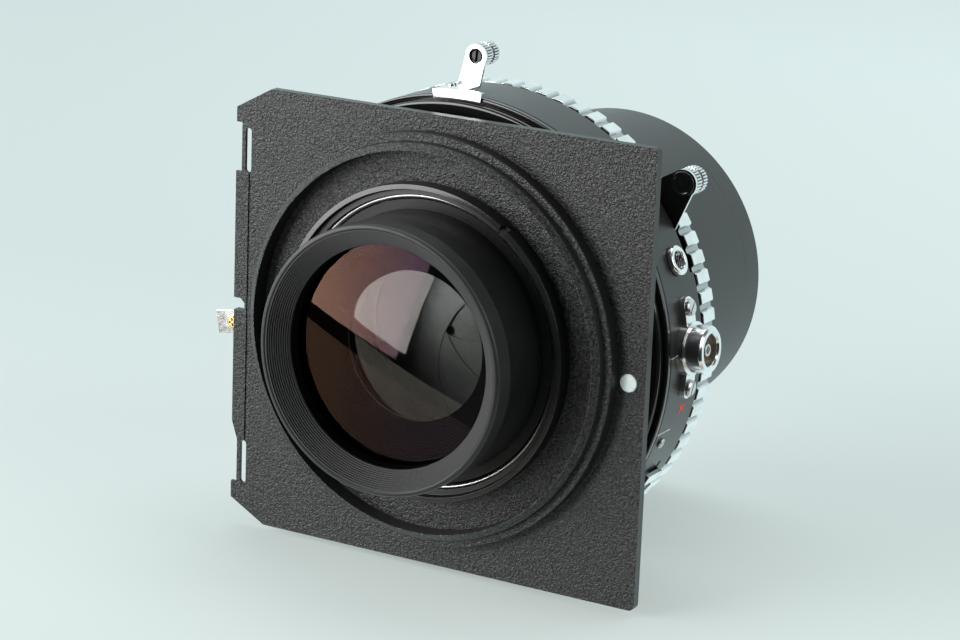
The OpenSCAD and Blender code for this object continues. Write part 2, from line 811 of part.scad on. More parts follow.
// A meniscus that bulges away from the aperture, within clear_r, and is hollow towards it
module meniscus(r, thick, ball_r, clear_r, hollow_ball_r, hollow_r) {
    difference() {
        union() {
            cylinder(r = r, h = thick);
            translate([0, 0, thick - eps]) dome(ball_r, clear_r);
        }
        translate([0, 0, -eps]) dome(hollow_ball_r, hollow_r);
    }
}

rear_ball_r = 300;
rear_inner_ball_r = 40;
inner_ball_r = 62;
inner_hollow_ball_r = 60;

module rear_glass() color(amber) lay() {
    translate([0, 0, rear_glass_front])
        meniscus(hood_spigot_r, rear_glass_t, rear_ball_r, rear_clear_r - 0.1, rear_ball_r,
                 rear_clear_r - 0.8);
}

// Flat to the rear and hollow towards the aperture
module rear_inner_glass() color(amber) lay() {
    translate([0, 0, inner_seat - rear_inner_t])
        difference() {
            cylinder(r = inner_glass_r, h = rear_inner_t);
            translate([0, 0, -eps]) dome(rear_inner_ball_r, inner_glass_r - 2);
        }
}

module rear_inner_ring() color(black) lay() {
    seat = inner_seat - rear_inner_t;
    ring(inner_glass_r - 1.5, inner_glass_r + 2, seat - 2.3, seat);
}

// FRONT CELL
rim_len = 6.8;
barrel_front = rim_len - front_reach;
front_seat_deep = 7.5;
front_seat = barrel_front + front_seat_deep;
front_glass_r = front_r - 3.8;
front_glass_t = 5.5;
front_throat_r = 18;
front_inner_deep = 4;
front_inner_seat = hub_front + front_inner_deep;
groove_w = 0.4;
spigot_r = front_glass_r + 0.9;
spigot_end = front_seat - front_glass_t;

module front_barrel() color(satin) lay() {
    neck_len = 3;
    flare_len = 10;
    shoulder = hub_front - neck_len;
    flare = shoulder - flare_len;
    thread_end = mech_front - 0.6;
    ring_bore = inner_glass_r + 2 + screwed;
    glass_bore = inner_glass_r + screwed;
    ring_seat = front_inner_seat + inner_glass_t;
    outer_bore = front_glass_r + screwed;
    spigot_bore = spigot_r + screwed;
    turned([[cell_r, thread_end], [cell_r, hub_front], [hub_r, hub_front], [hub_r, shoulder],
            [front_r, flare], [front_r, barrel_front + groove_w], [front_r - 0.5, barrel_front + groove_w],
            [front_r - 0.5, barrel_front], [spigot_bore, barrel_front], [spigot_bore, spigot_end],
            [outer_bore, spigot_end], [outer_bore, front_seat], [front_glass_r - 1.5, front_seat],
            [front_throat_r, front_inner_seat - 1], [front_throat_r, front_inner_seat],
            [glass_bore, front_inner_seat], [glass_bore, ring_seat], [ring_bore, ring_seat],
            [ring_bore, thread_end]]);
}

// The rim carries the filter thread and holds the outer glass
module front_rim() color(satin) lay() {
    front_end = -front_reach;
    edge = 0.4;
    thread_len = 4.5;
    hold_r = front_glass_r - 1.2;
    turned([[filter_r + edge, front_end], [rim_r - edge, front_end], [rim_r, front_end + edge],
            [rim_r, barrel_front], [spigot_r, barrel_front], [spigot_r, spigot_end],
            [hold_r, spigot_end], [hold_r, front_end + thread_len + 0.6], [filter_r, front_end + thread_len],
            [filter_r, front_end + edge]]);
}

front_ball_r = 110;

module front_glass() color(amber) lay() {
    union() {
        translate([0, 0, front_seat - front_glass_t])
            cylinder(r = front_glass_r, h = front_glass_t);
        translate([0, 0, front_seat - front_glass_t + eps])
            mirror([0, 0, 1]) dome(front_ball_r, front_glass_r - 1.3);
    }
}

module front_inner_glass() color(amber) lay() {
    translate([0, 0, front_inner_seat + inner_glass_t])
        mirror([0, 0, 1])
            meniscus(inner_glass_r, inner_glass_t, inner_ball_r, front_throat_r - 0.3, inner_hollow_ball_r,
                     inner_glass_r - 2);
}

module front_inner_ring() color(black) lay() {
    seat = front_inner_seat + inner_glass_t;
    ring(inner_glass_r - 1.5, inner_glass_r + 2, seat, seat + 2);
}

lens_board();
index_stud();
retaining_ring();
shutter_base();
rear_cover();
shutter_wall();
blade_plate();
mech_plate();
front_housing();
front_plate();
wall_screw();
for (i = [1 : iris_count])
    iris_blade(i - 1);
aperture_ring();
aperture_arm();
aperture_tab();
aperture_screw();
for (i = [1 : leaf_count])
    shutter_leaf(i - 1);
preview_ring();
preview_arm();
preview_tab();
speed_ring();
cocking_ring();
cocking_lever();
cocking_knob();
cocking_screw();
bracket_screw();
release_ring();
release_lever();
release_knob();
release_cap();
cable_socket();
sync_socket();
sync_insulator();
sync_contact();
sync_screws();
rear_barrel();
rear_hood();
rear_glass();
rear_inner_glass();
rear_inner_ring();
front_barrel();
front_rim();
front_glass();
front_inner_glass();
front_inner_ring();
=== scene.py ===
"""Looks of a large-format view-camera lens in a leaf shutter on a square lens board.

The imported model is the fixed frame. Sizes are in millimetres, counted as the part's source counts
them: a radius from the lens axis, and a height along it that is positive towards the rear.
"""

import json
import logging
import math
from dataclasses import dataclass
from enum import Enum
from typing import Any, Callable, Iterable, Sequence

import bmesh
import bpy
import numpy as np
from mathutils import Matrix, Vector


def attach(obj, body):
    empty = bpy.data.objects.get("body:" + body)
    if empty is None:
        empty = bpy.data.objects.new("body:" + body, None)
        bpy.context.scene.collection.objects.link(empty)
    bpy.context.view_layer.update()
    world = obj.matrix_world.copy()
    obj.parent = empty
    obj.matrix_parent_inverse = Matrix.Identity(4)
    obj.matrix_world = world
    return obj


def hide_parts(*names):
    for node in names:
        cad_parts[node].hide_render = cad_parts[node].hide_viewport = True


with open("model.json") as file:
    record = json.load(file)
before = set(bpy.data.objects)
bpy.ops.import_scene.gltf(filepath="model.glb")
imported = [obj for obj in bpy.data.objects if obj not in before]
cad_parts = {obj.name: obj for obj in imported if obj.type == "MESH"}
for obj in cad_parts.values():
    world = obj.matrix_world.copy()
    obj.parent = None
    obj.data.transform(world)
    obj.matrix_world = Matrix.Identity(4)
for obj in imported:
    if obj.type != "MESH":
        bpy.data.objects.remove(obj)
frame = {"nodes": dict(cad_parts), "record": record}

MM = 0.001
FULL_TURN = 2 * math.pi
# Name of the point attribute that carries painted shade: each point's share of a cut's depth
PAINTED_SHADE_ATTRIBUTE = "hollow"

# Steps round a turned piece
ROUND_STEPS = 192
FINE_STEPS = 256
SMALL_STEPS = 64

# Angles in degrees: of a sharp edge, below which triangles are joined, and past which an edge is rounded
SHARP_EDGE = 32.0
FLAT_ANGLE = 0.2
BEVEL_ANGLE = 38.0

# Gaps in millimetres: of points that are merged, of fitted pieces, and of heights that count as one
MERGE_GAP = 0.0002
CLEARANCE = 0.05
TOUCH = 0.01

# A margin in radians, and the most of a side that a rounded corner takes
TINY_ANGLE = 1e-6
SIDE_SHARE = 0.48

# The range that noise mostly has, and how far along the lens the dead black lining reaches
NOISE_LOW = 0.3
NOISE_HIGH = 0.7
LINING_HEIGHT = 17.1

Colour = tuple[float, float, float]
Triple = tuple[float, float, float]
Points = np.ndarray

log = logging.getLogger("view_camera_lens")


def linear(red: int, green: int, blue: int) -> Colour:
    """Turns a screen colour of 0 to 255 into linear light.

    Args:
        red: The red value.
        green: The green value.
        blue: The blue value.

    Returns:
        The three linear values, from 0 to 1.
    """
    screen = np.array([red, green, blue]) / 255
    light = np.where(screen <= 0.04045, screen / 12.92, ((screen + 0.055) / 1.055) ** 2.4)
    return tuple(float(value) for value in light)


def opaque(colour: Colour) -> tuple[float, float, float, float]:
    """Adds a full alpha to a colour."""
    return (*colour, 1.0)


def scaled(colour: Colour, factor: float) -> Colour:
    """A colour with each part multiplied by the factor."""
    return tuple(factor * part for part in colour)


# Shader building

class Wire:
    """A shader socket whose arithmetic adds Math nodes."""

    def __init__(self, shader: "Shader", socket: bpy.types.NodeSocket) -> None:
        """Keeps the socket and the shader that it belongs to."""
        self.shader = shader
        self.socket = socket

    def _math(self, operation: str, first: Any, second: Any) -> "Wire":
        """Adds one Math node on two values."""
        return self.shader.node("Math", {"operation": operation}, {0: first, 1: second})

    def __add__(self, other: Any) -> "Wire":
        """Self plus other."""
        return self._math("ADD", self, other)

    def __sub__(self, other: Any) -> "Wire":
        """Self minus other."""
        return self._math("SUBTRACT", self, other)

    def __mul__(self, other: Any) -> "Wire":
        """Self times other."""
        return self._math("MULTIPLY", self, other)

    def __gt__(self, other: Any) -> "Wire":
        """One where self is greater than other, and zero elsewhere."""
        return self._math("GREATER_THAN", self, other)

    def __lt__(self, other: Any) -> "Wire":
        """One where self is less than other, and zero elsewhere."""
        return self._math("LESS_THAN", self, other)

    def __abs__(self) -> "Wire":
        """Self without its sign."""
        return self._math("ABSOLUTE", self, 0.0)

    def sine(self) -> "Wire":
        """The sine of self, in radians."""
        return self._math("SINE", self, 0.0)


class Shader:
    """A material's node tree, built by expressions."""

    def __init__(self, name: str) -> None:
        """Starts an empty material of that name.

        Args:
            name: The material's name.
        """
        self.material = bpy.data.materials.new(name)
        self.material.use_nodes = True
        self.tree = self.material.node_tree
        self.tree.nodes.clear()

    def node(self, kind: str, settings: dict[str, Any] | None = None,
             sockets: dict[int | str, Any] | None = None, output: int | str = 0) -> Wire:
        """Adds one node.

        Args:
            kind: The node's type without its ShaderNode prefix.
            settings: Properties that are set first; stops are a ramp's positions and colours.
            sockets: Values or wires for its inputs.
            output: The output that is returned.

        Returns:
            The wire of that output.
        """
        made = self.tree.nodes.new("ShaderNode" + kind)
        for name, value in (settings or {}).items():
            if name == "stops":
                self._set_stops(made.color_ramp, value)
            else:
                setattr(made, name, value)
        for key, value in (sockets or {}).items():
            if isinstance(value, Wire):
                self.tree.links.new(value.socket, made.inputs[key])
            else:
                made.inputs[key].default_value = value
        return Wire(self, made.outputs[output])

    @staticmethod
    def _set_stops(ramp: bpy.types.ColorRamp, stops: Sequence[tuple[float, Colour]]) -> None:
        """Gives a ramp its stops, which it starts with two of.

        Args:
            ramp: The ramp.
            stops: Its positions and colours.
        """
        while len(ramp.elements) < len(stops):
            ramp.elements.new(1.0)
        for element, (position, colour) in zip(ramp.elements, stops):
            element.position = position
            element.color = opaque(colour)

    def place(self) -> Wire:
        """The point on the piece in the part's frame, in metres."""
        return self.node("TexCoord", output="Object")

    def split(self, vector: Wire) -> tuple[Wire, Wire, Wire]:
        """The x, y and z of a vector."""
        made = self.node("SeparateXYZ", sockets={0: vector}).socket.node
        return tuple(Wire(self, made.outputs[i]) for i in range(3))

    def normal(self) -> Wire:
        """The way the surface faces."""
        return self.node("NewGeometry", output="Normal")

    def squeezed(self, vector: Wire, factors: Triple) -> Wire:
        """A vector with each part multiplied by its factor."""
        return self.node("VectorMath", {"operation": "MULTIPLY"}, {0: vector, 1: factors})

    def noise(self, vector: Wire, grain_mm: float, detail: float = 2.0, rough: float = 0.5,
              swirl: float = 0.0) -> Wire:
        """Soft noise whose blobs are about grain_mm across.

        Args:
            vector: Where the noise is read.
            grain_mm: The width of its blobs.
            detail: How many finer scales are added.
            rough: The weight of the finer scales.
            swirl: How far it is twisted.

        Returns:
            The noise, from 0 to 1.
        """
        return self.node("TexNoise", sockets={
            "Vector": vector, "Scale": 1 / (grain_mm * MM), "Detail": detail, "Roughness": rough,
            "Distortion": swirl})

    def ramp(self, factor: Wire, *stops: tuple[float, Colour]) -> Wire:
        """A colour that runs through the stops as factor grows."""
        return self.node("ValToRGB", {"stops": stops}, {0: factor})

    def spread(self, factor: Wire, low: float, high: float) -> Wire:
        """A value from low to high as factor goes through the range that noise mostly has."""
        sockets = {0: factor, 1: NOISE_LOW, 2: NOISE_HIGH, 3: low, 4: high}
        return self.node("MapRange", {"clamp": True}, sockets)

    def share(self, value: Wire, low: float, high: float) -> Wire:
        """How far a value has gone from low to high, from 0 to 1."""
        return self.node("MapRange", {"clamp": True}, {0: value, 1: low, 2: high, 3: 0.0, 4: 1.0})

    def blend(self, factor: Wire, first: Wire, second: Wire) -> Wire:
        """A surface that is first where factor is 0 and second where it is 1."""
        return self.node("MixShader", sockets={0: factor, 1: first, 2: second})

    def mix(self, factor: Wire | float, first: Any, second: Any) -> Wire:
        """A colour that is first where factor is 0 and second where it is 1."""
        return self.node("Mix", {"data_type": "RGBA"}, {0: factor, 6: first, 7: second}, 2)

    def bump(self, height: Wire, depth_mm: float) -> Wire:
        """A normal that is tilted by a height field of that depth."""
        return self.node("Bump", sockets={"Strength": 1.0, "Distance": depth_mm * MM, "Height": height})

    def flat(self, colour: Colour) -> Wire:
        """A dull surface of one colour."""
        return self.node("BsdfDiffuse", sockets={0: opaque(colour)})

    def principled(self, sockets: dict[int | str, Any]) -> Wire:
        """A surface with those inputs."""
        return self.node("BsdfPrincipled", sockets=sockets)

    def finish(self, surface: Wire) -> bpy.types.Material:
        """Links the surface to the output and returns the material."""
        self.close(surface, "OutputMaterial")
        return self.material

    def close(self, surface: Wire, kind: str) -> None:
        """Links the surface to a new output node of that kind."""
        made = self.tree.nodes.new("ShaderNode" + kind)
        self.tree.links.new(surface.socket, made.inputs[0])


class WorldShader(Shader):
    """The world's node tree, built by the same expressions."""

    def __init__(self, world: bpy.types.World) -> None:
        """Empties the tree of a world.

        Args:
            world: The world.
        """
        world.use_nodes = True
        self.tree = world.node_tree
        self.tree.nodes.clear()


# Finishes

class Slot(Enum):
    """The record's material slots."""

    WRINKLE_PAINT = "wrinkle_paint"
    BRIGHT_CHROME = "bright_chrome"
    SATIN_BLACK = "satin_black_metal"
    BLACK_ANODISED = "black_anodised"
    BARE_STEEL = "bare_steel"
    RING_BLACK = "ring_black"
    GLOSS_ENAMEL = "gloss_black_enamel"
    MATTE_BLACK = "matte_black_metal"
    BLADE_GREY = "blade_grey"
    LEAF_BLACK = "leaf_black"
    YELLOW_BRASS = "yellow_brass"
    INSULATOR = "brown_insulator"
    COATED_GLASS = "coated_glass"


@dataclass(frozen=True)
class WrinklePaint:
    """Black paint that dries in fine wrinkles, with painted shade in the hollows and a painted highlight on
    the crests.
    """

    # Painted shade in the hollows of the wrinkles, and a painted highlight on their crests
    hollow: Colour = (0.003, 0.003, 0.003)
    crest: Colour = (0.036, 0.037, 0.0375)
    edge: Colour = (0.012, 0.012, 0.0125)
    grain_mm: float = 0.58
    fine_ratio: float = 2.2
    depth_mm: float = 0.36
    rough_hollow: float = 0.44
    rough_crest: float = 0.34
    face_share: float = 0.6

    def material(self) -> bpy.types.Material:
        """Two scales of noise make the wrinkles, on the faces and not on the thin cut edges.

        Returns:
            The finished material.
        """
        shader = Shader("wrinkle_paint")
        place = shader.place()
        folds = shader.noise(place, self.grain_mm, detail=1.0, swirl=0.7)
        fine = shader.noise(place, self.grain_mm / self.fine_ratio, detail=1.0, swirl=0.3)
        height = folds * 0.7 + fine * 0.3
        facing = abs(shader.split(shader.normal())[1]) > self.face_share
        # Painted shade and highlight: the colour runs from dark in the hollows to pale on the crests
        shaded_wrinkles = shader.ramp(height, (0.40, self.hollow), (0.60, self.crest))
        return shader.finish(shader.principled({
            "Base Color": shader.mix(facing, opaque(self.edge), shaded_wrinkles),
            "Roughness": shader.spread(height, self.rough_hollow, self.rough_crest), "IOR": 1.5,
            "Normal": shader.bump(height * facing, self.depth_mm)}))


@dataclass(frozen=True)
class BlackMetal:
    """Black finish on metal, with a soft sheen that changes a little over the surface."""

    name: str
    tone: Colour
    rough_low: float
    rough_high: float
    coat: float = 0.0
    grain_mm: float = 0.35
    grain_depth_mm: float = 0.01
    patch_mm: float = 9.0
    patch_gain: float = 1.5
    turned_pitch_mm: float = 0.0
    lining_to_mm: float | None = None
    lining: Colour = (0.004, 0.004, 0.004)
    sheen: float = 0.5

    def material(self) -> bpy.types.Material:
        """Broad noise varies tone and sheen, fine noise gives the grain, and rings show the lathe's feed.

        The bore may have a dead black lining up to a height along the lens.

        Returns:
            The finished material.
        """
        shader = Shader(self.name)
        place = shader.place()
        across, along, up = shader.split(place)
        broad = shader.noise(place, self.patch_mm, detail=3.0, rough=0.6)
        fine = shader.noise(place, self.grain_mm, rough=0.6)
        height = fine
        if self.turned_pitch_mm:
            radius = shader.node("Math", {"operation": "SQRT"}, {0: across * across + up * up})
            feed = ((radius + along) * (FULL_TURN / (self.turned_pitch_mm * MM))).sine()
            height = fine * 0.5 + feed * 0.25
        rough = shader.spread(broad * 0.6 + fine * 0.4, self.rough_low, self.rough_high)
        tone = shader.ramp(broad, (0.35, self.tone), (0.7, scaled(self.tone, self.patch_gain)))
        surface = shader.principled({
            "Base Color": tone, "Roughness": rough, "IOR": 1.5, "Specular IOR Level": self.sheen,
            "Coat Weight": self.coat, "Coat Roughness": 0.06,
            "Normal": shader.bump(height, self.grain_depth_mm)})
        if self.lining_to_mm is not None:
            side, _, rise = shader.split(shader.normal())
            inside = (side * across + rise * up < 0.0) * (along > -self.lining_to_mm * MM)
            surface = shader.blend(inside, surface, shader.flat(self.lining))
        return shader.finish(surface)


@dataclass(frozen=True)
class RingFinish:
    """Black ring whose rear land is polished."""

    black: Colour = (0.008, 0.008, 0.0085)
    land: Colour = (0.022, 0.0222, 0.0225)
    land_height_mm: float = 5.2
    worn: float = 0.8
    patch_mm: float = 6.0
    grain_mm: float = 0.3
    grain_depth_mm: float = 0.006
    rough_low: float = 0.36
    rough_high: float = 0.42
    polish: float = 0.25

    def material(self) -> bpy.types.Material:
        """The land is where the height to the rear passes a level, and noise leaves it a little uneven.

        Returns:
            The finished material.
        """
        shader = Shader("ring_black")
        place = shader.place()
        on_land = shader.split(place)[1] < -self.land_height_mm * MM
        fine = shader.noise(place, self.grain_mm, rough=0.6)
        broad = shader.noise(place, self.patch_mm, detail=3.0, rough=0.6)
        grey = shader.ramp(broad, (0.3, scaled(self.land, self.worn)), (0.7, self.land))
        rough = shader.spread(broad, self.rough_low, self.rough_high) - on_land * self.polish
        return shader.finish(shader.principled({
            "Base Color": shader.mix(on_land, opaque(self.black), grey), "IOR": 1.6, "Roughness": rough,
            "Normal": shader.bump(fine, self.grain_depth_mm)}))


@dataclass(frozen=True)
class BrightMetal:
    """Plated or bare metal, with fine marks, a trace of tarnish, and painted shade in the hollows of its
    cuts.
    """

    name: str
    tone: Colour
    rough_low: float
    rough_high: float
    shade: float = 0.86
    grain_depth_mm: float = 0.004
    # The colour of the painted shade in the hollows of cuts
    hollow: Colour = (0.16, 0.165, 0.165)
    patch_mm: float = 5.0
    mark_mm: float = 0.9
    mark_squeeze: Triple = (1.0, 9.0, 1.0)

    def material(self) -> bpy.types.Material:
        """Broad noise dulls some parts, squeezed noise leaves fine marks, and painted shade darkens the
        hollows of cuts.

        Returns:
            The finished material.
        """
        shader = Shader(self.name)
        place = shader.place()
        broad = shader.noise(place, self.patch_mm, detail=3.0, rough=0.6)
        marks = shader.noise(shader.squeezed(place, self.mark_squeeze), self.mark_mm, detail=3.0, rough=0.65)
        clean = shader.ramp(broad, (0.32, scaled(self.tone, self.shade)), (0.6, self.tone))
        # Painted shade: each point's share of a cut's depth mixes the colour towards the hollow colour
        painted_shade = shader.node("Attribute", {"attribute_name": PAINTED_SHADE_ATTRIBUTE}, output="Fac")
        return shader.finish(shader.principled({
            "Base Color": shader.mix(painted_shade, clean, opaque(self.hollow)), "Metallic": 1.0,
            "Roughness": shader.spread(broad * 0.5 + marks * 0.5, self.rough_low, self.rough_high),
            "Normal": shader.bump(marks, self.grain_depth_mm)}))


@dataclass(frozen=True)
class BladeMetal:
    """Thin blackened blade, brushed along one way."""

    name: str
    dark: Colour
    pale: Colour
    rough: float
    metallic: float
    rough_spread: float = 0.06
    # The thin edges' colour; on the grey iris blades it is darker than the faces, as painted shade that draws
    # the lines between blades
    edge: Colour = (0.03, 0.03, 0.03)
    brush_mm: float = 1.6
    brush_squeeze: Triple = (1.0, 1.0, 14.0)
    brush_depth_mm: float = 0.004
    patch_mm: float = 7.0
    face_share: float = 0.5

    def material(self) -> bpy.types.Material:
        """Squeezed noise gives the brushing, broad noise the worn patches, and the thin edges take the edge
        colour, which on the grey iris blades is painted shade.

        Returns:
            The finished material.
        """
        shader = Shader(self.name)
        place = shader.place()
        brushing = shader.squeezed(place, self.brush_squeeze)
        brushed = shader.noise(brushing, self.brush_mm, detail=4.0, rough=0.6)
        worn = shader.noise(place, self.patch_mm)
        facing = abs(shader.split(shader.normal())[1]) > self.face_share
        grey = shader.ramp(brushed * 0.5 + worn * 0.5, (0.35, self.dark), (0.65, self.pale))
        rough = shader.spread(brushed, self.rough - self.rough_spread, self.rough + self.rough_spread)
        return shader.finish(shader.principled({
            "Base Color": shader.mix(facing, opaque(self.edge), grey), "Metallic": self.metallic,
            "Roughness": rough, "Normal": shader.bump(brushed, self.brush_depth_mm)}))


@dataclass(frozen=True)
class Insulator:
    """Pressed brown resin with a mottled grain."""

    dark: Colour = (0.03, 0.019, 0.008)
    pale: Colour = (0.085, 0.055, 0.024)
    grain_mm: float = 0.7
    depth_mm: float = 0.02
    rough_low: float = 0.35
    rough_high: float = 0.5

    def material(self) -> bpy.types.Material:
        """Noise mottles the colour, the sheen and the surface.

        Returns:
            The finished material.
        """
        shader = Shader("brown_insulator")
        mottle = shader.noise(shader.place(), self.grain_mm, detail=4.0, rough=0.65)
        return shader.finish(shader.principled({
            "Base Color": shader.ramp(mottle, (0.35, self.dark), (0.65, self.pale)),
            "Roughness": shader.spread(mottle, self.rough_low, self.rough_high),
            "Normal": shader.bump(mottle, self.depth_mm)}))


@dataclass(frozen=True)
class CoatedGlass:
    """Lens glass whose coating tints what it mirrors, with another tint at the right than at the left.

    Where a face height is given, the coating is on the faces behind it, and the others mirror nothing.
    Past the edge radius the glass is inked black.
    """

    name: str
    left_tint: Colour = (0.443, 0.207, 0.118)
    right_tint: Colour = (0.148, 0.07, 0.124)
    face_height: float | None = None
    edge_r: float | None = None
    body: Colour = (0.97, 0.97, 0.965)
    ink: Colour = (0.003, 0.003, 0.003)
    index: float = 1.62
    left_mm: float = -18.0
    right_mm: float = 5.0
    bloom_mm: float = 11.0
    bloom_gain: float = 1.02

    def _glass(self, shader: Shader, colour: Wire, tint: Colour) -> Wire:
        """Clear glass that mirrors in one tint."""
        return shader.principled({"Base Color": colour, "Roughness": 0.0, "IOR": self.index,
                                  "Transmission Weight": 1.0, "Specular Tint": opaque(tint)})

    def material(self) -> bpy.types.Material:
        """Light from the lamps passes straight through, and a faint bloom varies the body's tint.

        Returns:
            The finished material.
        """
        shader = Shader(self.name)
        place = shader.place()
        across, along, up = shader.split(place)
        bloom = shader.noise(place, self.bloom_mm)
        colour = shader.ramp(bloom, (0.3, self.body), (0.7, scaled(self.body, self.bloom_gain)))
        surface = shader.blend(shader.share(across, self.left_mm * MM, self.right_mm * MM),
                               self._glass(shader, colour, self.left_tint),
                               self._glass(shader, colour, self.right_tint))
        if self.face_height is not None:
            through = shader.node("BsdfRefraction", sockets={
                "Color": colour, "Roughness": 0.0, "IOR": self.index})
            surface = shader.blend(along > -self.face_height * MM, surface, through)
        if self.edge_r is not None:
            outside = across * across + up * up > (self.edge_r * MM) ** 2
            surface = shader.blend(outside, surface, shader.flat(self.ink))
        clear = shader.node("BsdfTransparent", sockets={0: opaque(self.body)})
        return shader.finish(shader.blend(shader.node("LightPath", output="Is Shadow Ray"), surface, clear))


@dataclass(frozen=True)
class MarkPaint:
    """Paint of a filled-in mark, slightly worn."""

    name: str
    tone: Colour
    wear_mm: float = 0.25
    wear_shade: float = 0.65

    def material(self) -> bpy.types.Material:
        """Fine noise thins the paint here and there.

        Returns:
            The finished material.
        """
        shader = Shader(self.name)
        thin = shader.noise(shader.place(), self.wear_mm, detail=3.0, rough=0.6)
        tone = shader.ramp(thin, (0.3, scaled(self.tone, self.wear_shade)), (0.5, self.tone))
        return shader.finish(shader.principled({"Base Color": tone, "Roughness": 0.55}))


@dataclass(frozen=True)
class SilverPaint:
    """Flat silver with a few dark specks."""

    tone: Colour = (0.86, 0.92, 0.91)
    speck: Colour = (0.2, 0.2, 0.19)
    speck_mm: float = 0.28
    depth_mm: float = 0.01

    def material(self) -> bpy.types.Material:
        """Specks are the rare peaks of fine noise.

        Returns:
            The finished material.
        """
        shader = Shader("silver_paint")
        fine = shader.noise(shader.place(), self.speck_mm, detail=1.0)
        return shader.finish(shader.principled({
            "Base Color": shader.ramp(fine, (0.70, self.tone), (0.76, self.speck)), "Metallic": 0.2,
            "Roughness": shader.spread(fine, 0.4, 0.5), "Normal": shader.bump(fine, self.depth_mm)}))


@dataclass(frozen=True)
class EdgedEnamel:
    """Black enamel on the rear face of a plate whose cut edges are bare metal."""

    face_height: float
    black: Colour = (0.006, 0.006, 0.0062)
    steel: Colour = (0.8, 0.81, 0.82)
    edge_width: float = 0.07
    chip_mm: float = 0.5
    chip_deep: float = 0.08
    grain_depth_mm: float = 0.004

    def material(self) -> bpy.types.Material:
        """The enamel ends a little in front of the face, and noise chips its edge.

        Returns:
            The finished material.
        """
        shader = Shader("edged_black_enamel")
        place = shader.place()
        chips = shader.noise(place, self.chip_mm, detail=3.0, rough=0.6)
        level = chips * (self.chip_deep * MM) + (self.edge_width - self.chip_deep / 2 - self.face_height) * MM
        bare = shader.split(place)[1] > level
        return shader.finish(shader.principled({
            "Base Color": shader.mix(bare, opaque(self.black), opaque(self.steel)), "Metallic": bare,
            "Roughness": shader.spread(chips, 0.14, 0.24),
            "Normal": shader.bump(chips, self.grain_depth_mm)}))


FINISHES: dict[Slot, Any] = {
    Slot.WRINKLE_PAINT: WrinklePaint(),
    Slot.BRIGHT_CHROME: BrightMetal("bright_chrome", (0.86, 0.87, 0.875), 0.10, 0.2),
    Slot.SATIN_BLACK: BlackMetal("satin_black_metal", (0.020, 0.020, 0.0205), 0.30, 0.38),
    Slot.BLACK_ANODISED: BlackMetal("black_anodised", (0.022, 0.0225, 0.023), 0.36, 0.44,
                                    turned_pitch_mm=0.3),
    Slot.BARE_STEEL: BrightMetal("bare_steel", (0.66, 0.665, 0.67), 0.22, 0.36, shade=0.8,
                                 grain_depth_mm=0.008),
    Slot.RING_BLACK: RingFinish(),
    Slot.GLOSS_ENAMEL: BlackMetal("gloss_black_enamel", (0.006, 0.006, 0.0062), 0.12, 0.2, coat=0.5,
                                  grain_mm=0.8, grain_depth_mm=0.004),
    Slot.MATTE_BLACK: BlackMetal("matte_black_metal", (0.014, 0.0143, 0.0145), 0.40, 0.5,
                                 turned_pitch_mm=0.4, lining_to_mm=LINING_HEIGHT),
    Slot.BLADE_GREY: BladeMetal("blade_grey", (0.075, 0.08, 0.08), (0.12, 0.126, 0.125), 0.36, 0.55),
    Slot.LEAF_BLACK: BladeMetal("leaf_black", (0.012, 0.012, 0.012), (0.03, 0.03, 0.03), 0.42, 0.3),
    Slot.YELLOW_BRASS: BrightMetal("yellow_brass", (0.72, 0.5, 0.24), 0.2, 0.34),
    Slot.INSULATOR: Insulator(),
    Slot.COATED_GLASS: CoatedGlass("coated_glass"),
}


# Surfaces

@dataclass(frozen=True)
class Axis:
    """A turning axis: a point, the way heights grow, and the way of angle zero."""

    origin: Triple
    along: Triple
    across: Triple

    def points(self, radius: Points, height: Points, angle: Points) -> Points:
        """Places points given by radius, height and angle.

        The point is the origin, plus the height along the axis, plus the radius times the sum of the
        across way by the angle's cosine and the third way by its sine.

        Args:
            radius: Distances from the axis, in millimetres.
            height: Distances along the axis.
            angle: Angles about the axis, in radians.

        Returns:
            An array with one more dimension, of x, y and z in millimetres.
        """
        along = np.array(self.along)
        across = np.array(self.across)
        third = np.cross(along, across)
        outward = across * np.cos(angle)[..., None] + third * np.sin(angle)[..., None]
        return np.array(self.origin) + along * np.asarray(height)[..., None] + outward * radius[..., None]


LENS_AXIS = Axis((0.0, 0.0, 0.0), (0.0, -1.0, 0.0), (1.0, 0.0, 0.0))


def wall_axis(degrees: float, radius: float, height: float) -> Axis:
    """The axis of a fitting on the side wall, which points straight out from the lens axis.

    Args:
        degrees: Where it stands round the lens.
        radius: Where its height is zero.
        height: Where it stands along the lens.

    Returns:
        That axis, with angle zero to the rear.
    """
    turn = math.radians(degrees)
    outward = (math.cos(turn), 0.0, math.sin(turn))
    return Axis((radius * outward[0], -height, radius * outward[2]), outward, (0.0, -1.0, 0.0))


def side_axis(degrees: float, radius: float) -> Axis:
    """An axis beside the lens axis and along it, at that angle and distance."""
    turn = math.radians(degrees)
    return Axis((radius * math.cos(turn), 0.0, radius * math.sin(turn)), LENS_AXIS.along, LENS_AXIS.across)


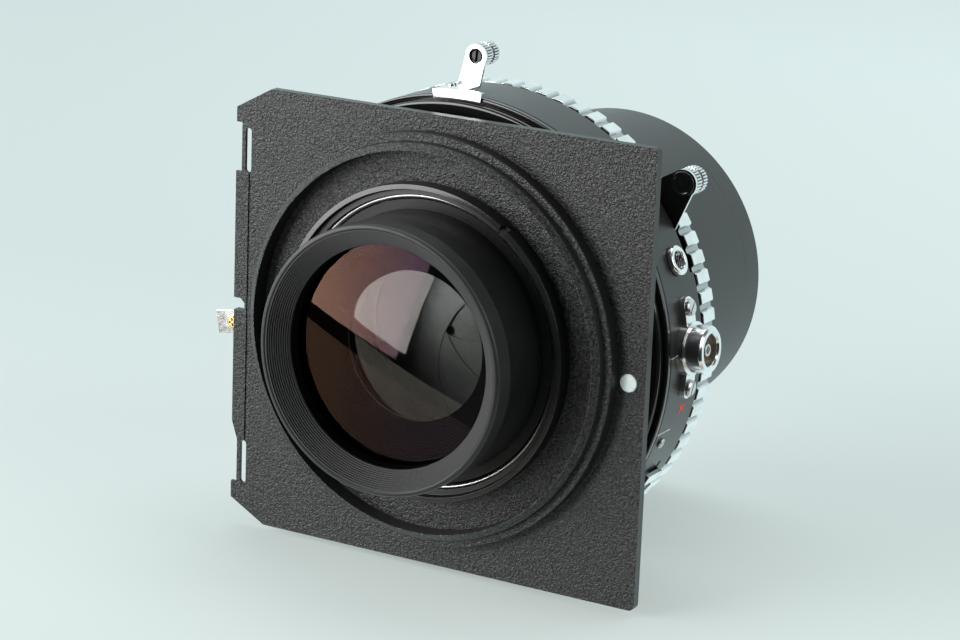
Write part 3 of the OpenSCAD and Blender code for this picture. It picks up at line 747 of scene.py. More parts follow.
@dataclass(frozen=True)
class Shell:
    """A closed surface on a grid of points, in millimetres."""

    grid: Points
    wrap_rows: bool = True
    wrap_columns: bool = True
    capped: bool = False
    # Each point's share of a cut's depth, which sets painted shade in the hollows
    hollow: Points | None = None

    def faces(self) -> list[list[int]]:
        """Joins each point to its neighbours in four-sided faces, facing outwards.

        Returns:
            Each face as the numbers of its points.
        """
        rows, columns = self.grid.shape[:2]
        row = np.arange(rows if self.wrap_rows else rows - 1)[:, None]
        column = np.arange(columns if self.wrap_columns else columns - 1)[None, :]
        next_row = (row + 1) % rows
        next_column = (column + 1) % columns
        corners = [row * columns + column, row * columns + next_column,
                   next_row * columns + next_column, next_row * columns + column]
        quads = np.stack(np.broadcast_arrays(*corners), -1).reshape(-1, 4)
        made = quads.tolist()
        if self.capped:
            made.append(list(range(columns))[::-1])
            made.append(list(range((rows - 1) * columns, rows * columns)))
        if self._volume(made) < 0:
            made = [face[::-1] for face in made]
        return made

    def _volume(self, faces: list[list[int]]) -> float:
        """The signed volume: a sixth of the sum of the triple products of each triangle's corners.

        Args:
            faces: Each face as the numbers of its points.

        Returns:
            The volume, in cubic millimetres.
        """
        flat = self.grid.reshape(-1, 3) - self.grid.reshape(-1, 3).mean(axis=0)
        fans = [(face[0], face[i], face[i + 1]) for face in faces for i in range(1, len(face) - 1)]
        a, b, c = (flat[column] for column in np.array(fans).T)
        return float(np.einsum("ij,ij->", a, np.cross(b, c)) / 6)


def rounded(corners: Sequence[Sequence[float]], cut: float | Sequence[float], samples: int = 6) -> Points:
    """Rounds the corners of a closed outline.

    Each corner becomes a curve from a point before it to a point after it, both at most the cut away and
    less than half a side, which weighs start, corner and end by the squares and the double product of the
    two shares.

    Args:
        corners: The outline's corners in order.
        cut: How far from each corner its curve starts, as one value or one for each corner.
        samples: Points on each curve.

    Returns:
        The outline's points.
    """
    points = np.asarray(corners, float)
    before = np.roll(points, 1, axis=0) - points
    after = np.roll(points, -1, axis=0) - points
    before_len = np.linalg.norm(before, axis=1, keepdims=True)
    after_len = np.linalg.norm(after, axis=1, keepdims=True)
    wanted = np.broadcast_to(np.asarray(cut, float), len(points))[:, None]
    reach = np.minimum(wanted, SIDE_SHARE * np.minimum(before_len, after_len))
    start = (points + before / before_len * reach)[:, None]
    end = (points + after / after_len * reach)[:, None]
    share = np.linspace(0, 1, samples)[None, :, None]
    curve = (1 - share) ** 2 * start + 2 * share * (1 - share) * points[:, None] + share ** 2 * end
    return curve.reshape(-1, 2)


def arc(ball_r: float, base_r: float, base_h: float, outward: float, samples: int = 40) -> Points:
    """A dome's profile from its rim to the axis.

    The height is the base's, plus the way outward times the drop from the ball's surface at each radius
    to its surface at the base.

    Args:
        ball_r: The ball's radius.
        base_r: The dome's radius.
        base_h: The height of its base.
        outward: 1 for a dome towards the rear, -1 towards the front.
        samples: Points on the profile.

    Returns:
        The profile's points, from the base to the axis.
    """
    radius = np.linspace(base_r, 0, samples)
    rise = np.sqrt(ball_r ** 2 - radius ** 2) - math.sqrt(ball_r ** 2 - base_r ** 2)
    return np.stack([radius, base_h + outward * rise], -1)


def turned(profile: Points, axis: Axis = LENS_AXIS, steps: int = ROUND_STEPS, whole: bool = False,
           shape: Callable[[Points, Points, Points], tuple[Points, Points]] | None = None,
           angles: Points | None = None, cut_deep: float | None = None) -> Shell:
    """Turns a profile about an axis.

    Args:
        profile: Radius and height of each point of the profile.
        axis: The axis.
        steps: Steps round it.
        whole: True where the profile runs from the axis back to the axis.
        shape: A function of radius, height and angle that gives changed radius and height.
        angles: The angles of the steps, where they aren't even.
        cut_deep: The depth of the shape's cuts, against which the painted shade in their hollows is measured.

    Returns:
        The closed surface, whose hollow values, used for painted shade, are the share of that depth that the
        shape takes off the radius.
    """
    around = np.linspace(0, FULL_TURN, steps, endpoint=False) if angles is None else angles
    radius, height, angle = np.broadcast_arrays(profile[None, :, 0], profile[None, :, 1], around[:, None])
    plain = radius
    if shape:
        radius, height = shape(radius, height, angle)
    hollow = (plain - radius) / cut_deep if cut_deep else None
    return Shell(axis.points(radius, height, angle), wrap_columns=not whole, hollow=hollow)


def wave(share: Points) -> Points:
    """A triangle wave of period one, from 0 up to 1 and back."""
    return 1 - np.abs(2 * (share % 1) - 1)


@dataclass(frozen=True)
class WallBar:
    """A straight bar laid on the side wall, placed by its middle and turned by a slant from the lens axis."""

    degrees: float
    height: float
    length: float
    width: float
    slant: float = 0.0
    steps: int = 12

    def shell(self, low: float, high: float) -> Shell:
        """The bar's surface.

        The bar's line runs both ways from its middle; the part of it round the wall is divided by the radius
        to give an angle.

        Args:
            low: The radius of its foot.
            high: The radius of its top.

        Returns:
            The closed surface.
        """
        turn = math.radians(self.slant)
        run = np.linspace(-self.length / 2, self.length / 2, self.steps)[:, None]
        side = np.array([-self.width, self.width, self.width, -self.width])[None, :] / 2
        radius = np.broadcast_to(np.array([low, low, high, high])[None, :], (self.steps, 4))
        along = run * math.cos(turn) - side * math.sin(turn)
        around = run * math.sin(turn) + side * math.cos(turn)
        angle = math.radians(self.degrees) + around / low
        return Shell(LENS_AXIS.points(radius, self.height + along, angle), wrap_rows=False, capped=True)


# Pieces

@dataclass
class Workshop:
    """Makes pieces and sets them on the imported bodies."""

    nodes: dict[str, bpy.types.Object]
    body_of: dict[str, str]
    slot_of: dict[str, Slot]
    materials: dict[Slot, bpy.types.Material]

    @classmethod
    def open(cls) -> "Workshop":
        """Reads the frame and makes the finishes.

        Returns:
            The workshop, with every CAD node in its slot's finish.
        """
        record = frame["record"]
        body_of = {node: body for body, members in record["behaviour"]["bodies"].items() for node in members}
        slot_of = {row["node"]: Slot(row["material_slot"]) for row in record["subparts"]}
        materials = {slot: finish.material() for slot, finish in FINISHES.items()}
        shop = cls(frame["nodes"], body_of, slot_of, materials)
        for name, piece in shop.nodes.items():
            shop.paint(piece, materials[slot_of[name]])
        return shop

    @staticmethod
    def paint(piece: bpy.types.Object, material: bpy.types.Material) -> None:
        """Gives a piece one material."""
        piece.data.materials.clear()
        piece.data.materials.append(material)

    def solid(self, name: str, shells: Iterable[Shell], sharp: float = SHARP_EDGE) -> bpy.types.Object:
        """Makes one piece of closed surfaces.

        Args:
            name: The piece's name.
            shells: Its surfaces.
            sharp: The angle between faces, in degrees, past which an edge stays sharp.

        Returns:
            The new object.
        """
        points = []
        faces = []
        shade_shares = []
        start = 0
        for shell in shells:
            flat = shell.grid.reshape(-1, 3)
            points.append(flat)
            shade_shares.append(np.zeros(len(flat)) if shell.hollow is None else shell.hollow.ravel())
            faces.extend([[index + start for index in face] for face in shell.faces()])
            start += len(flat)
        mesh = bpy.data.meshes.new(name)
        mesh.from_pydata(np.concatenate(points) * MM, [], faces)
        # Stores the shares that the bright metal turns into painted shade
        mesh.attributes.new(PAINTED_SHADE_ATTRIBUTE, "FLOAT", "POINT").data.foreach_set("value", np.concatenate(shade_shares))
        piece = self._closed(name, mesh, sharp)
        piece.modifiers.new("even_normals", "WEIGHTED_NORMAL").keep_sharp = True
        return piece

    @staticmethod
    def _closed(name: str, mesh: bpy.types.Mesh, sharp: float, flat_angle: float = 0.0) -> bpy.types.Object:
        """Merges a mesh's doubles, joins flat triangles if asked, smooths it and puts it in the scene.

        Args:
            name: The object's name.
            mesh: The mesh.
            sharp: The angle between faces, in degrees, past which an edge stays sharp.
            flat_angle: The angle below which triangles are joined, in radians, or 0 to join none.

        Returns:
            The new object.
        """
        work = bmesh.new()
        work.from_mesh(mesh)
        bmesh.ops.remove_doubles(work, verts=work.verts, dist=MERGE_GAP * MM)
        if flat_angle:
            bmesh.ops.dissolve_limit(work, angle_limit=flat_angle, verts=work.verts, edges=work.edges)
        work.to_mesh(mesh)
        work.free()
        mesh.shade_smooth()
        mesh.set_sharp_from_angle(angle=math.radians(sharp))
        piece = bpy.data.objects.new(name, mesh)
        bpy.context.scene.collection.objects.link(piece)
        return piece

    def eased(self, node: str, width: float, segments: int = 2, join_flat: bool = True) -> bpy.types.Object:
        """Makes a copy of a CAD node with rounded edges, and sets it in the node's place.

        Args:
            node: The node's name.
            width: The width of the rounding.
            segments: Steps across it.
            join_flat: True where flat triangles are joined first.

        Returns:
            The new object.
        """
        mesh = self.nodes[node].data.copy()
        if "custom_normal" in mesh.attributes:
            mesh.attributes.remove(mesh.attributes["custom_normal"])
        flat_angle = math.radians(FLAT_ANGLE) if join_flat else 0.0
        piece = self._closed(node + "_piece", mesh, SHARP_EDGE, flat_angle)
        bevel = piece.modifiers.new("eased_edges", "BEVEL")
        bevel.width = width * MM
        bevel.segments = segments
        bevel.limit_method = "ANGLE"
        bevel.angle_limit = math.radians(BEVEL_ANGLE)
        bevel.harden_normals = True
        return self.install(piece, node)

    def install(self, piece: bpy.types.Object, node: str,
                material: bpy.types.Material | None = None) -> bpy.types.Object:
        """Lets a piece stand for a CAD node, on the node's body and in its slot.

        Args:
            piece: The new piece.
            node: The node that it replaces.
            material: Its material, if it isn't the slot's own.

        Returns:
            The piece.
        """
        slot = self.slot_of[node]
        self.paint(piece, material or self.materials[slot])
        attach(piece, self.body_of[node])
        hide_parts(node)
        log.info("%s stands for %s on %s", piece.name, node, self.body_of[node])
        return piece

    def add(self, piece: bpy.types.Object, node: str, material: bpy.types.Material) -> bpy.types.Object:
        """Sets a piece that replaces nothing on the body of a node.

        Args:
            piece: The new piece.
            node: The node whose body it rides on.
            material: Its material.

        Returns:
            The piece.
        """
        self.paint(piece, material)
        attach(piece, self.body_of[node])
        log.info("%s rides on %s", piece.name, self.body_of[node])
        return piece


@dataclass(frozen=True)
class LensBoard:
    """The square board with its light-trap ridge, and its index stud."""

    edge: float = 0.28
    stud_x: float = 46.0
    stud_z: float = -1.1
    stud_r: float = 1.95
    stud_deep: float = 0.6
    corner_in: float = 0.18
    corner_low: float = 0.2
    corner_middle: tuple[float, float] = (0.05, 0.12)
    crown: float = 0.02
    crown_points: int = 10

    def build(self, shop: Workshop) -> None:
        """Makes the board and the stud, whose face is a little crowned.

        Args:
            shop: The workshop that makes and sets the pieces.
        """
        shop.eased("lens_board", self.edge, segments=3, join_flat=False)
        axis = Axis((self.stud_x, 0.0, self.stud_z), LENS_AXIS.along, LENS_AXIS.across)
        middle_in, middle_low = self.corner_middle
        side = np.array([[0.0, -self.stud_deep], [self.stud_r, -self.stud_deep],
                         [self.stud_r, -self.corner_low], [self.stud_r - middle_in, -middle_low]])
        share = np.linspace(1, 0, self.crown_points)
        face = np.stack([(self.stud_r - self.corner_in) * share, -self.crown * share ** 2], -1)
        stud = turned(np.concatenate([side, face]), axis, SMALL_STEPS, whole=True)
        shop.install(shop.solid("index_stud_piece", [stud]), "index_stud", SilverPaint().material())


@dataclass(frozen=True)
class RetainingRing:
    """The ring that holds the shutter in the board, with two spanner slots."""

    inner_r: float = 31.05
    outer_r: float = 33.5
    foot: float = 1.5
    top: float = 5.3
    land: float = 1.1
    land_slope: float = 0.2
    step: float = 1.4
    slot_wide: float = 1.7
    slot_deep: float = 1.6
    slot_side: float = 0.002
    first_slot: float = 55.0
    slots: int = 2
    cuts: tuple[float, ...] = (0.1, 0.1, 0.18, 0.08, 0.15, 0.1)

    def _angles(self) -> Points:
        """Even steps, with two close steps at each side of each slot.

        Returns:
            The angles in radians.
        """
        half = self.slot_wide / 2 / self.outer_r
        middles = np.radians(self.first_slot) + np.arange(self.slots) * FULL_TURN / self.slots
        close = np.array([-half - self.slot_side, -half, half, half + self.slot_side])
        sides = (middles[:, None] + close[None, :]).ravel() % FULL_TURN
        even = np.linspace(0, FULL_TURN, ROUND_STEPS, endpoint=False)
        return np.unique(np.concatenate([even, sides]))

    def _cut_slots(self, radius: Points, height: Points, angle: Points) -> tuple[Points, Points]:
        """Lowers the ring to the slot's floor where the angle is in a slot.

        Args:
            radius: Distances from the axis, in millimetres.
            height: Distances along the axis.
            angle: Angles about the axis, in radians.

        Returns:
            The changed radius and height.
        """
        half = self.slot_wide / 2 / self.outer_r + TINY_ANGLE
        period = FULL_TURN / self.slots
        away = (angle - math.radians(self.first_slot) + period / 2) % period - period / 2
        floor = self.top - self.slot_deep
        return radius, np.where(np.abs(away) <= half, np.minimum(height, floor), height)

    def build(self, shop: Workshop) -> None:
        """Makes the ring.

        Args:
            shop: The workshop that makes and sets the pieces.
        """
        land_in = self.outer_r - self.land
        floor = self.top - self.step
        outline = rounded([[self.inner_r, self.foot], [self.outer_r, self.foot], [self.outer_r, self.top],
                           [land_in, self.top], [land_in - self.land_slope, floor], [self.inner_r, floor]],
                          self.cuts)
        ring = turned(outline, shape=self._cut_slots, angles=self._angles())
        shop.install(shop.solid("retaining_ring_piece", [ring]), "retaining_ring")


@dataclass(frozen=True)
class MeniscusGlass:
    """A lens that is hollow towards the aperture, and bulges away from it or is flat there."""

    r: float
    thick: float
    ball_r: float | None
    clear_r: float
    hollow_ball_r: float
    hollow_r: float
    chamfer: float = 0.1
    face_step: float = 0.02
    face_points: int = 24

    def profile(self, foot: float, outward: float) -> Points:
        """The outline from the axis, over the hollow, the edge and the far face, back to the axis.

        Args:
            foot: The height of the side towards the aperture.
            outward: 1 where the lens bulges to the rear, -1 to the front.

        Returns:
            The outline's points.
        """
        hollow = arc(self.hollow_ball_r, self.hollow_r, foot, outward)[::-1]
        top = foot + outward * self.thick
        cut = self.chamfer
        edge = np.array([[self.r - cut, foot], [self.r, foot + outward * cut], [self.r, top - outward * cut],
                         [self.r - cut, top]])
        if self.ball_r is None:
            even = np.linspace(self.clear_r, 0, self.face_points)
            radius = np.concatenate([[self.clear_r + self.face_step], even])
            face = np.stack([radius, np.full(len(radius), top)], -1)
        else:
            face = arc(self.ball_r, self.clear_r, top, outward)
        return np.concatenate([hollow, edge, face])


@dataclass(frozen=True)
class RearCell:
    """The rear barrel, the ribbed hood, the two rear glasses and the ring that holds the inner one."""

    body_r: float = 27.9
    rim_r: float = 28.2
    flange_r: float = 29.95
    thread_r: float = 29.0
    reach: float = 21.2
    seat: float = 16.0
    score: float = 3.8
    score_half: float = 0.3
    score_floor_half: float = 0.15
    score_deep: float = 0.12
    flange_top: float = 2.5
    flange_seat: float = 0.6
    spigot_r: float = 25.8
    clear_r: float = 23.2
    sleeve_end: float = 14.7
    glass_front: float = 6.7
    throat_r: float = 15.6
    throat_land: float = 2.5
    throat_flare: float = 0.4
    inner_r: float = 19.5
    inner_seat: float = 0.0
    inner_t: float = 7.0
    ring_wide: float = 2.0
    ring_len: float = 2.5
    barrel_cut: float = 0.12
    cone_gap: float = 0.1
    cone_deep: float = 4.0
    cone_lip: float = 0.2
    ribs: int = 11
    rib_deep: float = 0.22
    rib_points: int = 6
    rib_power: float = 0.8
    rim_wide: float = 1.2
    rim_drop: float = 0.25
    rim_round: float = 0.8
    rim_turn: float = 100.0
    rim_points: int = 12
    skirt_cut: tuple[float, float] = (0.2, 0.25)
    hood_sharp: float = 24.0
    ball_r: float = 300.0
    face_in: float = 0.1
    hollow_in: float = 0.8
    ink_in: float = 0.15
    inner_ball_r: float = 40.0
    inner_hollow_in: float = 0.3
    inner_ink_in: float = 0.2
    coating_deep: float = 0.5
    face_rise: float = 3.6
    face_curve: float = 0.006
    face_slope_x: float = 0.0158
    face_slope_z: float = 0.0104
    barrel_tone: Colour = (0.008, 0.0083, 0.0085)
    baffle_tone: Colour = (0.003, 0.003, 0.003)
    inner_left_tint: Colour = (0.62, 0.6, 0.58)
    inner_right_tint: Colour = (0.58, 0.55, 0.53)

    def _barrel(self) -> Points:
        """The barrel's outline, with a fine score under the hood.

        Returns:
            The outline's points.
        """
        spigot_bore = self.spigot_r + CLEARANCE
        ring_bore = self.inner_r + self.ring_wide + CLEARANCE
        glass_bore = self.inner_r + CLEARANCE
        low = self.inner_seat - self.inner_t
        end = low - self.ring_len
        score_r = self.body_r - self.score_deep
        return rounded([
            [spigot_bore, self.seat], [self.body_r, self.seat],
            [self.body_r, self.score + self.score_half], [score_r, self.score + self.score_floor_half],
            [score_r, self.score - self.score_floor_half], [self.body_r, self.score - self.score_half],
            [self.body_r, self.flange_top], [self.flange_r, self.flange_top],
            [self.flange_r, self.flange_seat], [self.thread_r, self.flange_seat], [self.thread_r, end],
            [ring_bore, end], [ring_bore, low], [glass_bore, low], [glass_bore, self.inner_seat],
            [self.throat_r, self.inner_seat], [self.throat_r, self.inner_seat + self.throat_land],
            [self.clear_r - self.throat_flare, self.glass_front], [spigot_bore, self.glass_front]],
            self.barrel_cut, samples=4)

    def _hood(self) -> Points:
        """The hood's outline: ribs down the cone, a rounded rim, and the sleeve that holds the glass.

        Each rib stands in from the cone by its depth times a power of a triangle wave down the cone.

        Returns:
            The outline's points.
        """
        cone_low = np.array([self.clear_r + self.cone_gap, self.reach - self.cone_deep])
        cone_high = np.array([self.rim_r - self.rim_wide, self.reach - self.rim_drop])
        share = np.linspace(0, 1, self.ribs * self.rib_points, endpoint=False)
        slope = (cone_high - cone_low) / np.linalg.norm(cone_high - cone_low)
        inward = np.array([-slope[1], slope[0]])
        rib = self.rib_deep * wave(share * self.ribs) ** self.rib_power
        cone = cone_low + share[:, None] * (cone_high - cone_low) + rib[:, None] * inward
        turn = np.radians(np.linspace(self.rim_turn, 0, self.rim_points))
        rim = np.stack([self.rim_r - self.rim_round + self.rim_round * np.cos(turn),
                        self.reach - self.rim_round + self.rim_round * np.sin(turn)], -1)
        cut_in, cut_up = self.skirt_cut
        sleeve = np.array([[self.rim_r, self.seat + cut_up], [self.rim_r - cut_in, self.seat],
                           [self.spigot_r, self.seat], [self.spigot_r, self.sleeve_end],
                           [self.clear_r, self.sleeve_end], [self.clear_r, cone_low[1] - self.cone_lip]])
        return np.concatenate([cone, cone_high[None], rim, sleeve])

    def _settled(self, radius: Points, height: Points, angle: Points) -> tuple[Points, Points]:
        """Gives the inner glass a weak dome for its rear face, a little off the axis.

        Within the throat the rear face stands out by its rise, less its slopes times the way across and up,
        and less half its curve times the square of the radius.

        Args:
            radius: Distances from the axis, in millimetres.
            height: Distances along the axis.
            angle: Angles about the axis, in radians.

        Returns:
            The changed radius and height.
        """
        across = radius * np.cos(angle)
        up = radius * np.sin(angle)
        fall = self.face_slope_x * across + self.face_slope_z * up + self.face_curve * radius ** 2 / 2
        on_face = (height > self.inner_seat - TOUCH) & (radius <= self.throat_r + TOUCH)
        return radius, np.where(on_face, height + self.face_rise - fall, height)

    def _glasses(self, shop: Workshop) -> None:
        """Makes the outer glass and the inner glass.

        Args:
            shop: The workshop that makes and sets the pieces.
        """
        outer = MeniscusGlass(self.spigot_r, self.sleeve_end - self.glass_front, self.ball_r,
                              self.clear_r - self.face_in, self.ball_r, self.clear_r - self.hollow_in)
        glass = shop.solid("rear_glass_piece", [turned(outer.profile(self.glass_front, 1), whole=True)])
        brown = CoatedGlass("coated_glass_rear", face_height=(self.sleeve_end + self.glass_front) / 2,
                            edge_r=self.clear_r - self.ink_in)
        shop.install(glass, "rear_glass", brown.material())
        inner = MeniscusGlass(self.inner_r, self.inner_t, None, self.throat_r, self.inner_ball_r,
                              self.inner_r - self.inner_hollow_in)
        shell = turned(inner.profile(self.inner_seat - self.inner_t, 1), whole=True, shape=self._settled)
        grey = CoatedGlass("coated_glass_inner", self.inner_left_tint, self.inner_right_tint,
                           self.inner_seat - self.coating_deep, self.inner_r - self.inner_ink_in)
        shop.install(shop.solid("rear_inner_glass_piece", [shell]), "rear_inner_glass", grey.material())

    def build(self, shop: Workshop) -> None:
        """Makes the barrel, the hood and the glasses, and blackens the inner ring.

        Args:
            shop: The workshop that makes and sets the pieces.
        """
        black = BlackMetal("rear_barrel_black", self.barrel_tone, 0.3, 0.38, turned_pitch_mm=0.4,
                           lining_to_mm=LINING_HEIGHT, sheen=0.3).material()
        shop.install(shop.solid("rear_barrel_piece", [turned(self._barrel())]), "rear_barrel", black)
        hood = shop.solid("rear_hood_piece", [turned(self._hood(), steps=FINE_STEPS)], self.hood_sharp)
        shop.install(hood, "rear_hood")
        self._glasses(shop)
        baffle = BlackMetal("baffle_black", self.baffle_tone, 0.5, 0.6, sheen=0.0).material()
        shop.paint(shop.nodes["rear_inner_ring"], baffle)


@dataclass(frozen=True)
class ShutterCase:
    """The mounting tube, the rear cover, the side wall with its marks, and the front plate."""

    mount_r: float = 31.0
    bore_r: float = 29.05
    mouth_r: float = 30.1
    mouth_cut: float = 0.4
    tube_end: float = 3.0
    flange_seat: float = 0.6
    board_front: float = -2.0
    seat_r: float = 36.0
    seat_front: float = -3.6
    tube_r: float = 33.0
    step_wide: float = 1.5
    cover_rear: float = -8.3
    cover_front: float = -10.2
    cover_r: float = 48.6
    dish_in: float = 2.2
    dish_slope: float = 0.4
    dish_deep: float = 0.12
    base_rear: float = -11.2
    base_front: float = -12.2
    stop_t: float = 0.8
    inner_r: float = 48.9
    stop_r: float = 23.0
    wall_r: float = 49.8
    wall_edge: float = 0.1
    screw_edge: float = 0.05
    plate_r: float = 48.6
    hub_r: float = 33.05
    plate_rear: float = -31.65
    plate_front: float = -32.8
    housing_front: float = -31.4
    drum_r: float = 43.0
    mouth_cuts: tuple[float, ...] = (0.1, 0.2, 0.35)
    base_cut: float = 0.16
    cover_cuts: tuple[float, ...] = (0.1, 0.15, 1.35, 0.2, 0.2, 0.1)
    plate_cuts: tuple[float, ...] = (0.1, 0.1, 0.1, 0.2, 0.5, 0.2)
    index_bars: tuple[WallBar, ...] = (WallBar(-17.1, -14.2, 5.6, 0.28), WallBar(-31.8, -23.2, 4.2, 0.22))
    seam_bar: WallBar = WallBar(2.2, -13.05, 3.5, 0.16)
    cross_bars: tuple[WallBar, ...] = (WallBar(-12.2, -19.4, 3.1, 0.6, 38.0),
                                       WallBar(-12.2, -19.4, 3.1, 0.6, -38.0))
    mark_proud: float = 0.03
    cross_step: float = 0.002
    white: Colour = (0.62, 0.63, 0.62)
    red: Colour = (0.75, 0.035, 0.03)

    def _base(self) -> Points:
        """The outline of the tube, its seat, and the plate behind the blades.

        Returns:
            The outline's points.
        """
        bore_end = self.base_rear + self.stop_t
        step_r = self.tube_r + self.step_wide
        corners = [
            [self.mouth_r, self.tube_end - self.mouth_cut], [self.mouth_r + self.mouth_cut, self.tube_end],
            [self.mount_r, self.tube_end], [self.mount_r, self.board_front], [self.seat_r, self.board_front],
            [self.seat_r, self.seat_front], [self.tube_r, self.seat_front], [self.tube_r, self.cover_front],
            [step_r, self.cover_front], [step_r, self.base_rear], [self.inner_r, self.base_rear],
            [self.inner_r, self.base_front], [self.stop_r, self.base_front], [self.stop_r, bore_end],
            [self.bore_r, bore_end], [self.bore_r, self.flange_seat], [self.mouth_r, self.flange_seat]]
        plain = [self.base_cut] * (len(corners) - len(self.mouth_cuts))
        return rounded(corners, [*self.mouth_cuts, *plain], samples=5)

    def _cover(self) -> Points:
        """The outline of the rear cover, with a round shoulder and a shallow dish.

        Returns:
            The outline's points.
        """
        bore = self.tube_r + CLEARANCE
        lip = self.cover_r - self.dish_in
        floor = self.cover_rear - self.dish_deep
        return rounded([
            [bore, self.cover_front], [self.cover_r, self.cover_front], [self.cover_r, self.cover_rear],
            [lip, self.cover_rear], [lip - self.dish_slope, floor], [bore, floor]],
            self.cover_cuts, samples=9)

    def _plate(self) -> Points:
        """The outline of the front plate.

        Returns:
            The outline's points.
        """
        return rounded([
            [self.hub_r, self.housing_front], [self.drum_r, self.housing_front],
            [self.drum_r, self.plate_rear], [self.plate_r, self.plate_rear],
            [self.plate_r, self.plate_front], [self.hub_r, self.plate_front]], self.plate_cuts)

    def _marks(self, shop: Workshop) -> None:
        """Lays the index lines and the red cross mark on the wall.

        Args:
            shop: The workshop that makes and sets the pieces.
        """
        low = self.wall_r - CLEARANCE
        high = self.wall_r + self.mark_proud
        white = MarkPaint("white_mark", self.white).material()
        red = MarkPaint("red_mark", self.red).material()
        lines = [bar.shell(low, high) for bar in self.index_bars]
        shop.add(shop.solid("wall_index_lines", lines), "shutter_wall", white)
        shop.add(shop.solid("wall_seam_line", [self.seam_bar.shell(low, high)]), "shutter_wall", white)
        cross = [bar.shell(low, high + self.cross_step * number)
                 for number, bar in enumerate(self.cross_bars)]
        shop.add(shop.solid("wall_cross_mark", cross), "shutter_wall", red)

    def build(self, shop: Workshop) -> None:
        """Makes the case's pieces and the marks on the wall.

        Args:
            shop: The workshop that makes and sets the pieces.
        """
        shop.install(shop.solid("shutter_base_piece", [turned(self._base())]), "shutter_base")
        cover = turned(self._cover(), steps=FINE_STEPS)
        shop.install(shop.solid("rear_cover_piece", [cover]), "rear_cover")
        shop.eased("shutter_wall", self.wall_edge, join_flat=False)
        plate = turned(self._plate(), steps=FINE_STEPS)
        shop.install(shop.solid("front_plate_piece", [plate]), "front_plate")
        shop.eased("wall_screw", self.screw_edge)
        self._marks(shop)


@dataclass(frozen=True)
class SpeedRing:
    """The notched ring that sets the shutter speed."""

    outer_r: float = 50.0
    inner_r: float = 43.8
    rim_t: float = 2.4
    rim_gap: float = 0.1
    rear: float = -26.0
    step: float = -28.6
    front: float = -31.3
    notches: int = 76
    phase: float = 0.24
    deep: float = 0.8
    half_top: float = 0.95
    half_foot: float = 0.45
    straight_share: float = 0.7
    # The painted shade in a notch is its cut depth over this many notch depths
    notch_shade_share: float = 1.6
    foot_point: float = 0.75
    side_point: float = 0.2
    lip_round: float = 0.15
    land_from: float = 0.3
    land_points: int = 5
    sharp: float = 28.0
    cuts: tuple[float, ...] = (0.1, 0.1, 0.2, 0.3, 0.3, 0.2)

    def _angles(self) -> Points:
        """For each notch: its middle, its foot, its side, the round of its lip and the land up to the next.

        Returns:
            The angles in radians.
        """
        pitch = FULL_TURN / self.notches
        foot = self.half_foot / self.outer_r
        top = self.half_top / self.outer_r
        side = top - foot
        lip = [top - self.lip_round * side, top, top + self.lip_round * side]
        half = np.array([0.0, self.foot_point * foot, foot, foot + self.side_point * side, *lip])
        land_in = top + self.land_from * side
        land = np.linspace(land_in, pitch - land_in, self.land_points)
        one = np.concatenate([half, land, pitch - half[:0:-1]])
        starts = (np.arange(self.notches) + self.phase) * pitch
        return (starts[:, None] + one[None, :]).ravel()

    def _cut(self, radius: Points, height: Points, angle: Points) -> tuple[Points, Points]:
        """Lowers the rim by a depth that falls from the notch's foot to its lip, partly straight.

        Args:
            radius: Distances from the axis, in millimetres.
            height: Distances along the axis.
            angle: Angles about the axis, in radians.

        Returns:
            The changed radius and height.
        """
        pitch = FULL_TURN / self.notches
        away = np.abs((angle - self.phase * pitch + pitch / 2) % pitch - pitch / 2) * self.outer_r
        share = np.clip((self.half_top - away) / (self.half_top - self.half_foot), 0, 1)
        smooth = share * share * (3 - 2 * share)
        depth = self.deep * (self.straight_share * share + (1 - self.straight_share) * smooth)
        on_rim = radius > self.outer_r - self.rim_t + self.rim_gap
        return np.where(on_rim, np.minimum(radius, self.outer_r - depth), radius), height

    def build(self, shop: Workshop) -> None:
        """Makes the ring.

        Args:
            shop: The workshop that makes and sets the pieces.
        """
        rim_in = self.outer_r - self.rim_t
        outline = rounded([
            [self.inner_r, self.step], [rim_in, self.step], [rim_in, self.rear], [self.outer_r, self.rear],
            [self.outer_r, self.front], [self.inner_r, self.front]], self.cuts, samples=4)
        # The cut depth sets painted shade in the notches
        ring = turned(outline, shape=self._cut, angles=self._angles(), cut_deep=self.notch_shade_share * self.deep)
        shop.install(shop.solid("speed_ring_piece", [ring], self.sharp), "speed_ring")


